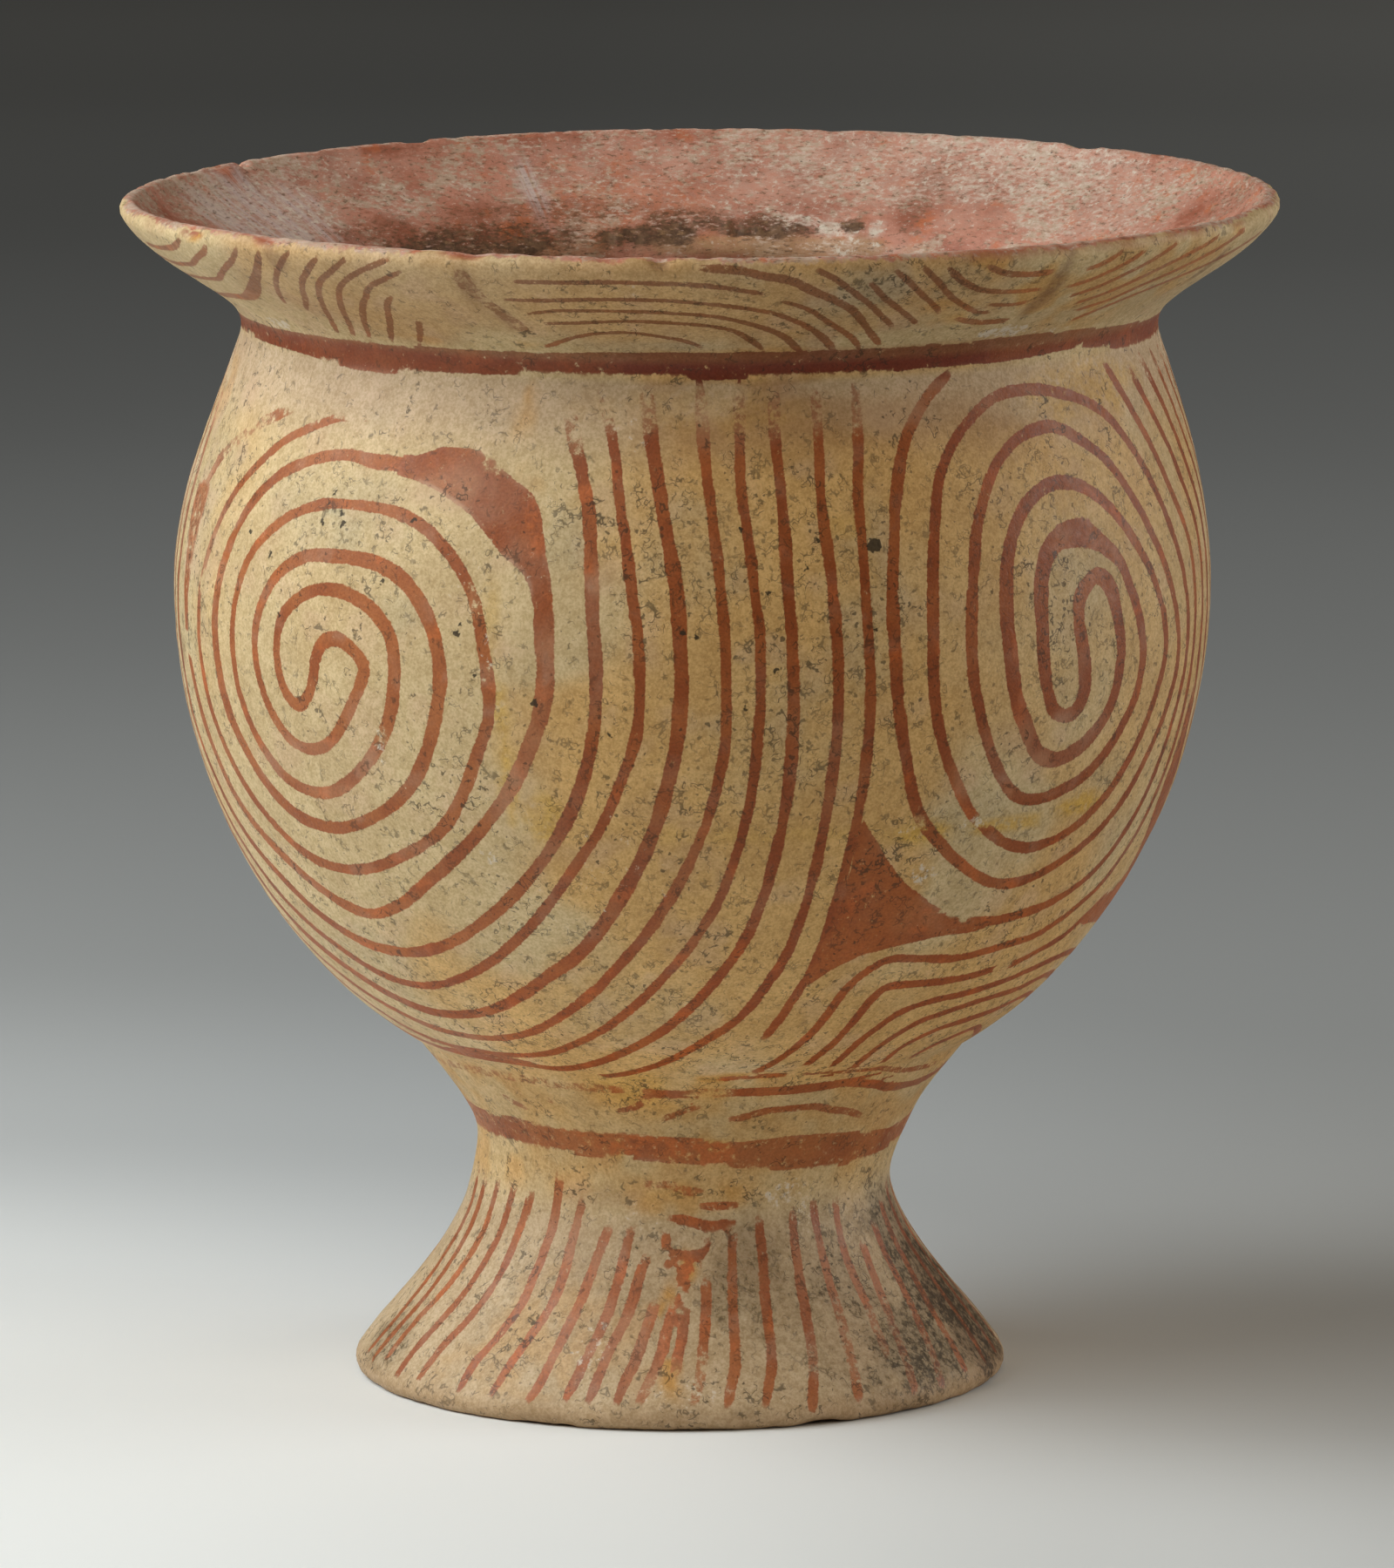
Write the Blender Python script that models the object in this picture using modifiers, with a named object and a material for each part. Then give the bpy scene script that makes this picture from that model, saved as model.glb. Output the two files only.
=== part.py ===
"""A painted earthenware jar on a hollow pedestal foot, at its real size.

Metres, +Z up. The origin lies on the ground, under the middle of the mouth. The whole jar is one
turned profile: a round-bottomed pot with a flared rim, set on a foot that is open below. The clay
was shaped by hand, so the turned form then drifts a little sideways with height, and its lip dips
on one side.
"""

import math

import bmesh
import bpy
from mathutils import Vector

# Radii of the outer face
FOOT_RADIUS = 0.0852
WAIST_RADIUS = 0.0546
COLLAR_RADIUS = 0.0723
BODY_RADIUS = 0.1347
NECK_RADIUS = 0.1173
RIM_RADIUS = 0.1500

# Heights, each one measured on from the level before it, from the ground up
WAIST_HEIGHT = 0.0543
BOTTOM_RISE = 0.0137
COLLAR_RISE = 0.0210
BELLY_RISE = 0.1188
SHOULDER_RISE = 0.0707
RIM_RISE = 0.0315

# Thickness of the clay
WALL = 0.0060
LIP_THICKNESS = 0.0052
FOOT_WALL = 0.0075
FOOT_RING_WIDTH = 0.0048

# Rounding of the corners
NECK_FILLET = 0.0060
FOOT_EDGE_HEIGHT = 0.0070
FOOT_EDGE_ROUND = 0.0018
CAVITY_FILLET = 0.0100

# Directions of the outer face on the way down, in degrees from straight outwards
LIP_ANGLE = -120.0
FLARE_ANGLE = -136.0
SHOULDER_ANGLE = -71.0
COLLAR_ANGLE = -127.0
FOOT_EDGE_ANGLE = -52.0
FOOT_UNDERCUT_ANGLE = -150.0
STRAIGHT_DOWN = -90.0

# How far each curve keeps its end directions, as shares of its own span
FLARE_FULLNESS = 0.30
FILLET_FULLNESS = 0.38
BODY_FULLNESS = 0.34
PEDESTAL_FULLNESS = 0.29
EDGE_FULLNESS = 0.45

# How the hand-made jar departs from a true turned form
FOOT_DRIFT = -0.0052
BODY_DRIFT = -0.0020
LIP_DIP = 0.0020
LIP_DIP_SIDE = math.radians(160.0)

STEPS_ROUND = 60
MERGE_DISTANCE = 0.00001
SHARP_ANGLE = math.radians(40.0)

BOTTOM_LEVEL = WAIST_HEIGHT + BOTTOM_RISE
COLLAR_LEVEL = BOTTOM_LEVEL + COLLAR_RISE
WIDEST_LEVEL = COLLAR_LEVEL + BELLY_RISE
NECK_LEVEL = WIDEST_LEVEL + SHOULDER_RISE
LIP_LEVEL = NECK_LEVEL + RIM_RISE


def clear_scene():
    for item in list(bpy.data.objects):
        bpy.data.objects.remove(item, do_unlink=True)


def heading(angle):
    return Vector((math.cos(math.radians(angle)), math.sin(math.radians(angle))))


def curve(start, start_angle, end, end_angle, steps, fullness):
    """Points of a smooth curve that leaves start and reaches end in the two directions given."""
    start, end = Vector(start), Vector(end)
    reach = fullness * (end - start).length
    first = start + reach * heading(start_angle)
    second = end - reach * heading(end_angle)
    points = []
    for step in range(steps + 1):
        t = step / steps
        u = 1.0 - t
        points.append(u**3 * start + 3 * t * u**2 * first + 3 * t**2 * u * second + t**3 * end)
    return points


def chain(*stretches):
    """One line of points from stretches that each start where the one before ends."""
    points = list(stretches[0])
    for stretch in stretches[1:]:
        points += stretch[1:]
    return points


def bottom_level(radius):
    """Height of the pot's round bottom, which the foot is built on."""
    return BOTTOM_LEVEL + COLLAR_RISE * (radius / COLLAR_RADIUS) ** 2


def lip_round():
    """The half round of the lip, from its inner side over the crest to its outer side."""
    centre = Vector((RIM_RADIUS - LIP_THICKNESS / 2, LIP_LEVEL - LIP_THICKNESS / 2))
    angles = [LIP_ANGLE + 270.0 - 30.0 * step for step in range(7)]
    return [centre + LIP_THICKNESS / 2 * heading(angle) for angle in angles]


def pot_outside(lip_side):
    """The pot without its foot, from the outer side of the lip down to the collar of the foot."""
    corner = Vector((NECK_RADIUS, NECK_LEVEL))
    above = corner - NECK_FILLET * heading(FLARE_ANGLE)
    below = corner + NECK_FILLET * heading(SHOULDER_ANGLE)
    widest = Vector((BODY_RADIUS, WIDEST_LEVEL))
    collar = Vector((COLLAR_RADIUS, COLLAR_LEVEL))
    collar_slope = math.degrees(math.atan(2.0 * COLLAR_RISE / COLLAR_RADIUS)) - 180.0
    return chain(
        curve(lip_side, LIP_ANGLE, above, FLARE_ANGLE, 3, FLARE_FULLNESS),
        curve(above, FLARE_ANGLE, below, SHOULDER_ANGLE, 3, FILLET_FULLNESS),
        curve(below, SHOULDER_ANGLE, widest, STRAIGHT_DOWN, 5, BODY_FULLNESS),
        curve(widest, STRAIGHT_DOWN, collar, collar_slope, 9, BODY_FULLNESS),
    )


def pot_bottom(radius, steps):
    """The round bottom, from this radius in to the axis."""
    radii = [radius * (1.0 - step / steps) for step in range(steps + 1)]
    return [Vector((r, bottom_level(r))) for r in radii]


def through_wall(outside):
    """The inner face: every outer point moved square to the surface by the clay's thickness there."""
    inner = []
    travelled = 0.0
    mirrored_end = Vector((-outside[-2].x, outside[-2].y))
    for index, point in enumerate(outside):
        before = outside[max(index - 1, 0)]
        after = outside[index + 1] if index + 1 < len(outside) else mirrored_end
        run = (after - before).normalized() if index else heading(LIP_ANGLE)
        travelled += (point - before).length
        blend = min(1.0, travelled / RIM_RISE)
        thickness = LIP_THICKNESS + (WALL - LIP_THICKNESS) * blend
        inner.append(point + thickness * Vector((run.y, -run.x)))
    return inner


def foot_outside():
    """The pedestal, from the collar down over the rounded edge to the ground."""
    collar = (COLLAR_RADIUS, COLLAR_LEVEL)
    waist = (WAIST_RADIUS, WAIST_HEIGHT)
    edge = (FOOT_RADIUS - FOOT_EDGE_ROUND, FOOT_EDGE_HEIGHT)
    ground = (FOOT_RADIUS - FOOT_EDGE_ROUND, 0.0)
    return chain(
        curve(collar, COLLAR_ANGLE, waist, STRAIGHT_DOWN, 5, FILLET_FULLNESS),
        curve(waist, STRAIGHT_DOWN, edge, FOOT_EDGE_ANGLE, 6, PEDESTAL_FULLNESS),
        curve(edge, FOOT_EDGE_ANGLE, ground, FOOT_UNDERCUT_ANGLE, 4, EDGE_FULLNESS),
    )


def foot_inside():
    """The hollow of the foot, from the resting ring up to the pot's bottom."""
    ring = (FOOT_RADIUS - FOOT_EDGE_ROUND - FOOT_RING_WIDTH, 0.0)
    waist = (WAIST_RADIUS - FOOT_WALL, WAIST_HEIGHT)
    radius = WAIST_RADIUS - FOOT_WALL - CAVITY_FILLET
    top = pot_bottom(radius, 2)
    slope = math.degrees(math.atan(2.0 * COLLAR_RISE * radius / COLLAR_RADIUS**2))
    return chain(
        curve(ring, FOOT_EDGE_ANGLE + 180.0, waist, STRAIGHT_DOWN + 180.0, 5, PEDESTAL_FULLNESS),
        curve(waist, STRAIGHT_DOWN + 180.0, top[0], 180.0 + slope, 3, EDGE_FULLNESS),
        top,
    )


def jar_profile():
    """The whole section of the clay, from the middle of the floor inside to the middle below it."""
    lip = lip_round()
    outside = pot_outside(lip[-1])
    inside = through_wall(chain(outside, pot_bottom(COLLAR_RADIUS, 4)))
    return chain(inside[::-1], lip, outside, foot_outside()) + foot_inside()


def turned(name, profile):
    """A mesh object of the profile turned about the vertical axis."""
    form = bmesh.new()
    points = [form.verts.new((point.x, 0.0, point.y)) for point in profile]
    for upper, lower in zip(points, points[1:]):
        form.edges.new((upper, lower))
    mesh = bpy.data.meshes.new(name + "_profile")
    form.to_mesh(mesh)
    form.free()
    item = bpy.data.objects.new(name, mesh)
    screw = item.modifiers.new("Turn", "SCREW")
    screw.axis = "Z"
    screw.angle = math.tau
    screw.steps = STEPS_ROUND
    screw.render_steps = STEPS_ROUND
    screw.use_merge_vertices = True
    screw.merge_threshold = MERGE_DISTANCE
    return item


def smooth_step(value, low, high):
    t = min(1.0, max(0.0, (value - low) / (high - low)))
    return t * t * (3.0 - 2.0 * t)


def shape_by_hand(mesh):
    """Moves the points of the turned form to where the hand-made jar has them."""
    for vertex in mesh.vertices:
        x, y, z = vertex.co
        over_foot = smooth_step(z, WAIST_HEIGHT - WALL, BOTTOM_LEVEL)
        over_body = smooth_step(z, WIDEST_LEVEL, NECK_LEVEL)
        drift = FOOT_DRIFT + (BODY_DRIFT - FOOT_DRIFT) * over_foot - BODY_DRIFT * over_body
        facing_dip = max(0.0, math.cos(math.atan2(y, x) - LIP_DIP_SIDE))
        dip = LIP_DIP * facing_dip**3 * smooth_step(z, NECK_LEVEL, LIP_LEVEL)
        vertex.co = (x + drift, y, z - dip)


def clay():
    material = bpy.data.materials.new("Painted earthenware")
    material.use_nodes = True
    shader = material.node_tree.nodes["Principled BSDF"]
    shader.inputs["Base Color"].default_value = (0.52, 0.33, 0.19, 1.0)
    shader.inputs["Roughness"].default_value = 0.85
    shader.inputs["Metallic"].default_value = 0.0
    return material


def painted_jar():
    item = turned("painted_jar", jar_profile())
    bpy.context.collection.objects.link(item)
    bpy.context.view_layer.update()
    graph = bpy.context.evaluated_depsgraph_get()
    mesh = bpy.data.meshes.new_from_object(item.evaluated_get(graph))
    bpy.context.collection.objects.unlink(item)
    item.modifiers.clear()
    item.data = mesh
    mesh.name = "painted_jar"
    shape_by_hand(mesh)
    mesh.shade_smooth()
    mesh.set_sharp_from_angle(angle=SHARP_ANGLE)
    mesh.materials.append(clay())
    return item


def main():
    clear_scene()
    collection = bpy.data.collections.new("Painted pottery jar")
    bpy.context.scene.collection.children.link(collection)
    collection.objects.link(painted_jar())


main()
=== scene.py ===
"""The looks of the painted pottery jar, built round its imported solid.

Metres, +Z up, the jar's front towards -Y. The jar is one closed skin of clay that keeps the solid's
form and adds what the hand, use and age left on it. Its painting is drawn as brush strokes on a
chart of the clay: u, millimetres round the belly from the front, growing to the right, and down,
millimetres down the outer face from the crest of the lip. Below zero, down runs into the bowl.
"""

import math

import bpy
import numpy as np
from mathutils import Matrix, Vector
from mathutils.kdtree import KDTree


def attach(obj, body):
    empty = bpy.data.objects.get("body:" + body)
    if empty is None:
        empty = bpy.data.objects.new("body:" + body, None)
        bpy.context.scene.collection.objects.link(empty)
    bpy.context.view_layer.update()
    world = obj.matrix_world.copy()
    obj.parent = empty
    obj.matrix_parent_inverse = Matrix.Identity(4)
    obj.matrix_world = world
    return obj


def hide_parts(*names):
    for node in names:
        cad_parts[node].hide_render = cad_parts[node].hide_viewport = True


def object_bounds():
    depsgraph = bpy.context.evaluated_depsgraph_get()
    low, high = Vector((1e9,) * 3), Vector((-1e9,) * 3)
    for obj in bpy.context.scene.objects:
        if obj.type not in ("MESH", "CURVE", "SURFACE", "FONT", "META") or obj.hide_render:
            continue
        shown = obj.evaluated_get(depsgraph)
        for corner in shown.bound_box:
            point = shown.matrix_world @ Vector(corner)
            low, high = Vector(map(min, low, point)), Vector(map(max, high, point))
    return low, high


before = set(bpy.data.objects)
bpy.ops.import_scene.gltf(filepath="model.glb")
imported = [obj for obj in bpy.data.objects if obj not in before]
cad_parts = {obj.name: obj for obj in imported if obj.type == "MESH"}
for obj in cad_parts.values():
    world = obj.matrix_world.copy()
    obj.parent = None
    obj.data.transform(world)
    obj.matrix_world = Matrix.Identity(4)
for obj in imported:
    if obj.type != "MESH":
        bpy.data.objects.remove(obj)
cad_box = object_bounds()

MM = 0.001

# The solid's own sizes, in metres and degrees
FOOT_RADIUS = 0.0852
WAIST_RADIUS = 0.0546
COLLAR_RADIUS = 0.0723
BODY_RADIUS = 0.1347
NECK_RADIUS = 0.1173
RIM_RADIUS = 0.1500
WAIST_HEIGHT = 0.0543
BOTTOM_RISE = 0.0137
COLLAR_RISE = 0.0210
BELLY_RISE = 0.1188
SHOULDER_RISE = 0.0707
RIM_RISE = 0.0315
WALL = 0.0060
LIP_THICKNESS = 0.0052
FOOT_WALL = 0.0075
FOOT_RING_WIDTH = 0.0048
NECK_FILLET = 0.0060
FOOT_EDGE_HEIGHT = 0.0070
FOOT_EDGE_ROUND = 0.0018
CAVITY_FILLET = 0.0100
LIP_ANGLE = -120.0
FLARE_ANGLE = -136.0
SHOULDER_ANGLE = -71.0
COLLAR_ANGLE = -127.0
FOOT_EDGE_ANGLE = -52.0
FOOT_UNDERCUT_ANGLE = -150.0
STRAIGHT_DOWN = -90.0
FLARE_FULLNESS = 0.30
FILLET_FULLNESS = 0.38
BODY_FULLNESS = 0.34
PEDESTAL_FULLNESS = 0.29
EDGE_FULLNESS = 0.45
FOOT_DRIFT = -0.0052
BODY_DRIFT = -0.0020
LIP_DIP = 0.0020
LIP_DIP_SIDE = math.radians(160.0)
BOTTOM_LEVEL = WAIST_HEIGHT + BOTTOM_RISE
COLLAR_LEVEL = BOTTOM_LEVEL + COLLAR_RISE
WIDEST_LEVEL = COLLAR_LEVEL + BELLY_RISE
NECK_LEVEL = WIDEST_LEVEL + SHOULDER_RISE
LIP_LEVEL = NECK_LEVEL + RIM_RISE

BELLY_MM = BODY_RADIUS / MM
ROUND_MM = math.tau * BELLY_MM
HALF_ROUND_MM = ROUND_MM / 2

# Camera and light. A light's row is its name, azimuth from the camera's side and growing to the
# right, elevation, distance, width, height, power and colour
CAMERA_PLACE = (-0.0007, -3.2, 0.6743)
CAMERA_TARGET = (-0.0007, 0.0, 0.1542)
CAMERA_LENS = 285.62
SENSOR_WIDTH = 36.0
NEAREST_SEEN, FARTHEST_SEEN = 0.1, 100.0
LIGHTS = (
    ("Key", -90.0, 36.0, 1.45, 0.8, 0.9, 12.5, (0.975, 1.0, 1.0)),
    ("Side", -60.0, 40.0, 1.5, 1.5, 1.2, 12.5, (0.975, 1.0, 1.0)),
    ("Fill", 98.0, 14.0, 1.9, 1.1, 1.1, 16.5, (1.0, 0.97, 0.93)),
    ("Front", 12.0, 38.0, 1.9, 1.1, 1.1, 5.0, (1.0, 0.82, 0.58)),
)
LIGHT_TARGET = Vector((0.0, 0.0, 0.16))
STUDIO_COLOUR = (1.0, 0.9, 0.75, 1.0)
STUDIO_STRENGTH = 0.02


def add_object(name, data, location=(0.0, 0.0, 0.0), target=None):
    """An object of the scene, turned to look at its target where it has one."""
    item = bpy.data.objects.new(name, data)
    item.location = location
    if target is not None:
        item.rotation_euler = (Vector(target) - item.location).to_track_quat("-Z", "Y").to_euler()
    bpy.context.scene.collection.objects.link(item)
    return item


def make_camera():
    data = bpy.data.cameras.new("Camera")
    data.sensor_width = SENSOR_WIDTH
    data.lens = CAMERA_LENS
    data.clip_start = NEAREST_SEEN
    data.clip_end = FARTHEST_SEEN
    bpy.context.scene.camera = add_object("Camera", data, CAMERA_PLACE, CAMERA_TARGET)


def make_lights():
    for name, azimuth, elevation, distance, width, height, power, colour in LIGHTS:
        data = bpy.data.lights.new(name, "AREA")
        data.shape = "RECTANGLE"
        data.size = width
        data.size_y = height
        data.energy = power
        data.color = colour
        a, e = math.radians(azimuth), math.radians(elevation)
        aside = Vector((math.sin(a) * math.cos(e), -math.cos(a) * math.cos(e), math.sin(e)))
        add_object(name, data, LIGHT_TARGET + distance * aside, LIGHT_TARGET)
    world = bpy.data.worlds.new("Studio")
    bpy.context.scene.world = world
    world.use_nodes = True
    back = world.node_tree.nodes["Background"]
    back.inputs["Color"].default_value = STUDIO_COLOUR
    back.inputs["Strength"].default_value = STUDIO_STRENGTH
    bpy.context.scene.view_settings.view_transform = "Standard"


def smooth(value, low, high):
    """From 0 to 1 as the value goes from low to high."""
    t = np.clip((value - low) / (high - low), 0.0, 1.0)
    return t * t * (3.0 - 2.0 * t)


# Large odd numbers that scramble a cell's place into a number of its own
CELL_FACTORS = (374761393, 668265263, 1442695041, 1274126177)
MIX_FACTORS = ((13, 1274126177), (15, 2246822519))
LOW_32_BITS = np.uint64(0xFFFFFFFF)
LOW_16_BITS = np.uint64(0xFFFF)
HALF_OF_16_BITS = 65535 / 2
NOISE_START = 31.7


def hashed(ix, iy, iz, seed):
    """A repeatable number from -1 to 1 for each whole-number cell."""
    x, y, z, s = CELL_FACTORS
    cells = ix.astype(np.int64) * x + iy.astype(np.int64) * y + iz.astype(np.int64) * z + seed * s
    h = cells.astype(np.uint64) & LOW_32_BITS
    for bits, factor in MIX_FACTORS:
        h = ((h ^ (h >> np.uint64(bits))) * np.uint64(factor)) & LOW_32_BITS
    return ((h ^ (h >> np.uint64(16))) & LOW_16_BITS).astype(float) / HALF_OF_16_BITS - 1.0


def noise(points, size, seed):
    """Smooth noise from about -1 to 1 at points in millimetres; size is its grain in millimetres."""
    p = points / np.asarray(size, float) + NOISE_START
    cell = np.floor(p)
    f = p - cell
    w = f * f * f * (f * (f * 6.0 - 15.0) + 10.0)
    total = np.zeros(len(p))
    for corner in range(8):
        dx, dy, dz = corner & 1, (corner >> 1) & 1, corner >> 2
        weight = ((w[:, 0] if dx else 1 - w[:, 0]) * (w[:, 1] if dy else 1 - w[:, 1])
                  * (w[:, 2] if dz else 1 - w[:, 2]))
        total += weight * hashed(cell[:, 0] + dx, cell[:, 1] + dy, cell[:, 2] + dz, seed)
    return total


def raised(points, size, seed):
    """The same noise with its hollows filled."""
    return np.maximum(0.0, noise(points, size, seed))


def cloud(points, size, octaves, seed):
    """Noise with finer noise laid over it."""
    total = sum(0.6**n * noise(points, size / 2**n, seed + 20 * n) for n in range(octaves))
    return total / math.sqrt(sum(0.36**n for n in range(octaves)))


def flow(controls, step):
    """A smooth line through the control points, in points about one step apart."""
    c = np.array(controls, float)
    c = np.vstack([2 * c[0] - c[1], c, 2 * c[-1] - c[-2]])
    out = []
    for a, b, d, e in zip(c, c[1:], c[2:], c[3:]):
        count = max(2, int(math.ceil(np.hypot(*(d - b)[:2]) / step)))
        t = (np.arange(count) / count)[:, None]
        out.append(0.5 * (2 * b + (d - a) * t + (2 * a - 5 * b + 4 * d - e) * t**2
                          + (3 * b - a - 3 * d + e) * t**3))
    out.append(c[-2:-1])
    return np.vstack(out)


def lengths(points):
    """How far along the line each of its points lies."""
    return np.concatenate([[0.0], np.cumsum(np.linalg.norm(np.diff(points, axis=0), axis=1))])


# The form of the clay: the solid's own section, in many more points
CURVE_STEPS = 48
BOTTOM_STEPS = 60
HOLLOW_TOP_STEPS = 24
LIP_POINTS = 25


def heading(angle):
    return np.array([math.cos(math.radians(angle)), math.sin(math.radians(angle))])


def curve(start, start_angle, end, end_angle, fullness):
    """Points of a smooth curve that leaves start and reaches end in the two directions given."""
    start, end = np.array(start, float), np.array(end, float)
    reach = fullness * np.linalg.norm(end - start)
    first = start + reach * heading(start_angle)
    second = end - reach * heading(end_angle)
    t = np.linspace(0.0, 1.0, CURVE_STEPS + 1)[:, None]
    u = 1.0 - t
    return u**3 * start + 3 * t * u**2 * first + 3 * t**2 * u * second + t**3 * end


def chain(*stretches):
    return np.vstack([stretches[0]] + [stretch[1:] for stretch in stretches[1:]])


def pot_bottom(radius, steps):
    r = np.linspace(radius, 0.0, steps + 1)
    return np.stack([r, BOTTOM_LEVEL + COLLAR_RISE * (r / COLLAR_RADIUS) ** 2], -1)


def pot_outside(lip_side):
    corner = np.array([NECK_RADIUS, NECK_LEVEL])
    above = corner - NECK_FILLET * heading(FLARE_ANGLE)
    below = corner + NECK_FILLET * heading(SHOULDER_ANGLE)
    slope = math.degrees(math.atan(2.0 * COLLAR_RISE / COLLAR_RADIUS)) - 180.0
    widest = (BODY_RADIUS, WIDEST_LEVEL)
    return chain(
        curve(lip_side, LIP_ANGLE, above, FLARE_ANGLE, FLARE_FULLNESS),
        curve(above, FLARE_ANGLE, below, SHOULDER_ANGLE, FILLET_FULLNESS),
        curve(below, SHOULDER_ANGLE, widest, STRAIGHT_DOWN, BODY_FULLNESS),
        curve(widest, STRAIGHT_DOWN, (COLLAR_RADIUS, COLLAR_LEVEL), slope, BODY_FULLNESS),
    )


def through_wall(outside):
    """The inner face: every outer point moved square to the surface by the clay's thickness there."""
    step = np.gradient(outside, axis=0)
    step[0] = heading(LIP_ANGLE)
    run = step / np.linalg.norm(step, axis=1)[:, None]
    blend = np.minimum(1.0, lengths(outside) / RIM_RISE)[:, None]
    thickness = LIP_THICKNESS + (WALL - LIP_THICKNESS) * blend
    return outside + thickness * np.stack([run[:, 1], -run[:, 0]], -1)


def foot_outside():
    edge = (FOOT_RADIUS - FOOT_EDGE_ROUND, FOOT_EDGE_HEIGHT)
    ground = (FOOT_RADIUS - FOOT_EDGE_ROUND, 0.0)
    waist = (WAIST_RADIUS, WAIST_HEIGHT)
    collar = (COLLAR_RADIUS, COLLAR_LEVEL)
    return chain(
        curve(collar, COLLAR_ANGLE, waist, STRAIGHT_DOWN, FILLET_FULLNESS),
        curve(waist, STRAIGHT_DOWN, edge, FOOT_EDGE_ANGLE, PEDESTAL_FULLNESS),
        curve(edge, FOOT_EDGE_ANGLE, ground, FOOT_UNDERCUT_ANGLE, EDGE_FULLNESS),
    )


def foot_inside():
    ring = (FOOT_RADIUS - FOOT_EDGE_ROUND - FOOT_RING_WIDTH, 0.0)
    waist = (WAIST_RADIUS - FOOT_WALL, WAIST_HEIGHT)
    radius = WAIST_RADIUS - FOOT_WALL - CAVITY_FILLET
    top = pot_bottom(radius, HOLLOW_TOP_STEPS)
    slope = math.degrees(math.atan(2.0 * COLLAR_RISE * radius / COLLAR_RADIUS**2))
    return chain(
        np.array([(FOOT_RADIUS - FOOT_EDGE_ROUND, 0.0), ring]),
        curve(ring, FOOT_EDGE_ANGLE + 180.0, waist, STRAIGHT_DOWN + 180.0, PEDESTAL_FULLNESS),
        curve(waist, STRAIGHT_DOWN + 180.0, top[0], 180.0 + slope, EDGE_FULLNESS),
        top,
    )


def section():
    """The section of the clay, from the middle of the floor inside to the middle below it, as
    (down, radius, height) in millimetres."""
    centre = np.array([RIM_RADIUS - LIP_THICKNESS / 2, LIP_LEVEL - LIP_THICKNESS / 2])
    angles = np.radians(np.linspace(LIP_ANGLE + 270.0, LIP_ANGLE + 90.0, LIP_POINTS))
    lip = centre + LIP_THICKNESS / 2 * np.stack([np.cos(angles), np.sin(angles)], -1)
    outside = pot_outside(lip[-1])
    inside = through_wall(chain(outside, pot_bottom(COLLAR_RADIUS, BOTTOM_STEPS)))
    inside[-1, 0] = 0.0
    line = chain(inside[::-1], lip, outside, foot_outside(), foot_inside()) / MM
    down = lengths(line)
    crest = len(inside) - 1 + int(np.argmax(lip[:, 1]))
    return down - down[crest], line[:, 0], line[:, 1]


DOWN, RADIUS, HEIGHT = section()
# How far down the outer face meets the ground
GROUND = float(DOWN[(DOWN > 0.0) & (HEIGHT < 0.01)][0])
SLOPE_REACH = 0.4


def radius_at(down):
    return np.interp(down, DOWN, RADIUS)


def height_at(down):
    return np.interp(down, DOWN, HEIGHT)


def place(u, down):
    """Points on the smooth skin, in millimetres, and the outward direction there."""
    angle = u / BELLY_MM
    r, z = radius_at(down), height_at(down)
    ahead, behind = down + SLOPE_REACH, down - SLOPE_REACH
    dr, dz = radius_at(ahead) - radius_at(behind), height_at(ahead) - height_at(behind)
    run = np.maximum(np.hypot(dr, dz), 1e-9)
    out_r, out_z = -dz / run, dr / run
    sine, cosine = np.sin(angle), np.cos(angle)
    normal = np.stack([out_r * sine, -out_r * cosine, out_z], -1)
    x, y = r * sine, -r * cosine
    over_foot = smooth(z, (WAIST_HEIGHT - WALL) / MM, BOTTOM_LEVEL / MM)
    over_body = smooth(z, WIDEST_LEVEL / MM, NECK_LEVEL / MM)
    drift = (FOOT_DRIFT + (BODY_DRIFT - FOOT_DRIFT) * over_foot - BODY_DRIFT * over_body) / MM
    facing = np.maximum(0.0, np.cos(np.arctan2(y, x) - LIP_DIP_SIDE))
    dip = LIP_DIP / MM * facing**3 * smooth(z, NECK_LEVEL / MM, LIP_LEVEL / MM)
    return np.stack([x + drift, y, z - dip], -1), normal


# How close the skin's points lie: from this far down, millimetres between rows, and between the
# points of a row. The rows run from the floor inside, over the lip, down to the hollow of the foot
ROW_PLAN = (
    (-330, 6, 6.5), (-75, 5, 5.6), (-54, 2, 2.2), (-47, 1.3, 1.4), (-34, 1.3, 1.4), (-28, 1.9, 2.2),
    (-6, 1.9, 2.2), (-3.5, 0.8, 1.6), (3, 0.8, 1.5), (6, 1.35, 1.5), (46, 1.35, 1.5), (54, 2.05, 2.15),
    (250, 2.05, 2.1), (286, 2, 2.1), (296, 1.5, 1.55), (363, 1.45, 1.55), (371, 1.6, 1.9),
    (384, 5, 5.5), (500, 6, 6.5),
)
# A row has a whole number of these many points, and none is made round a smaller ring
POINTS_STEP = 24
SMALLEST_RING_MM = 5.0


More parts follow.
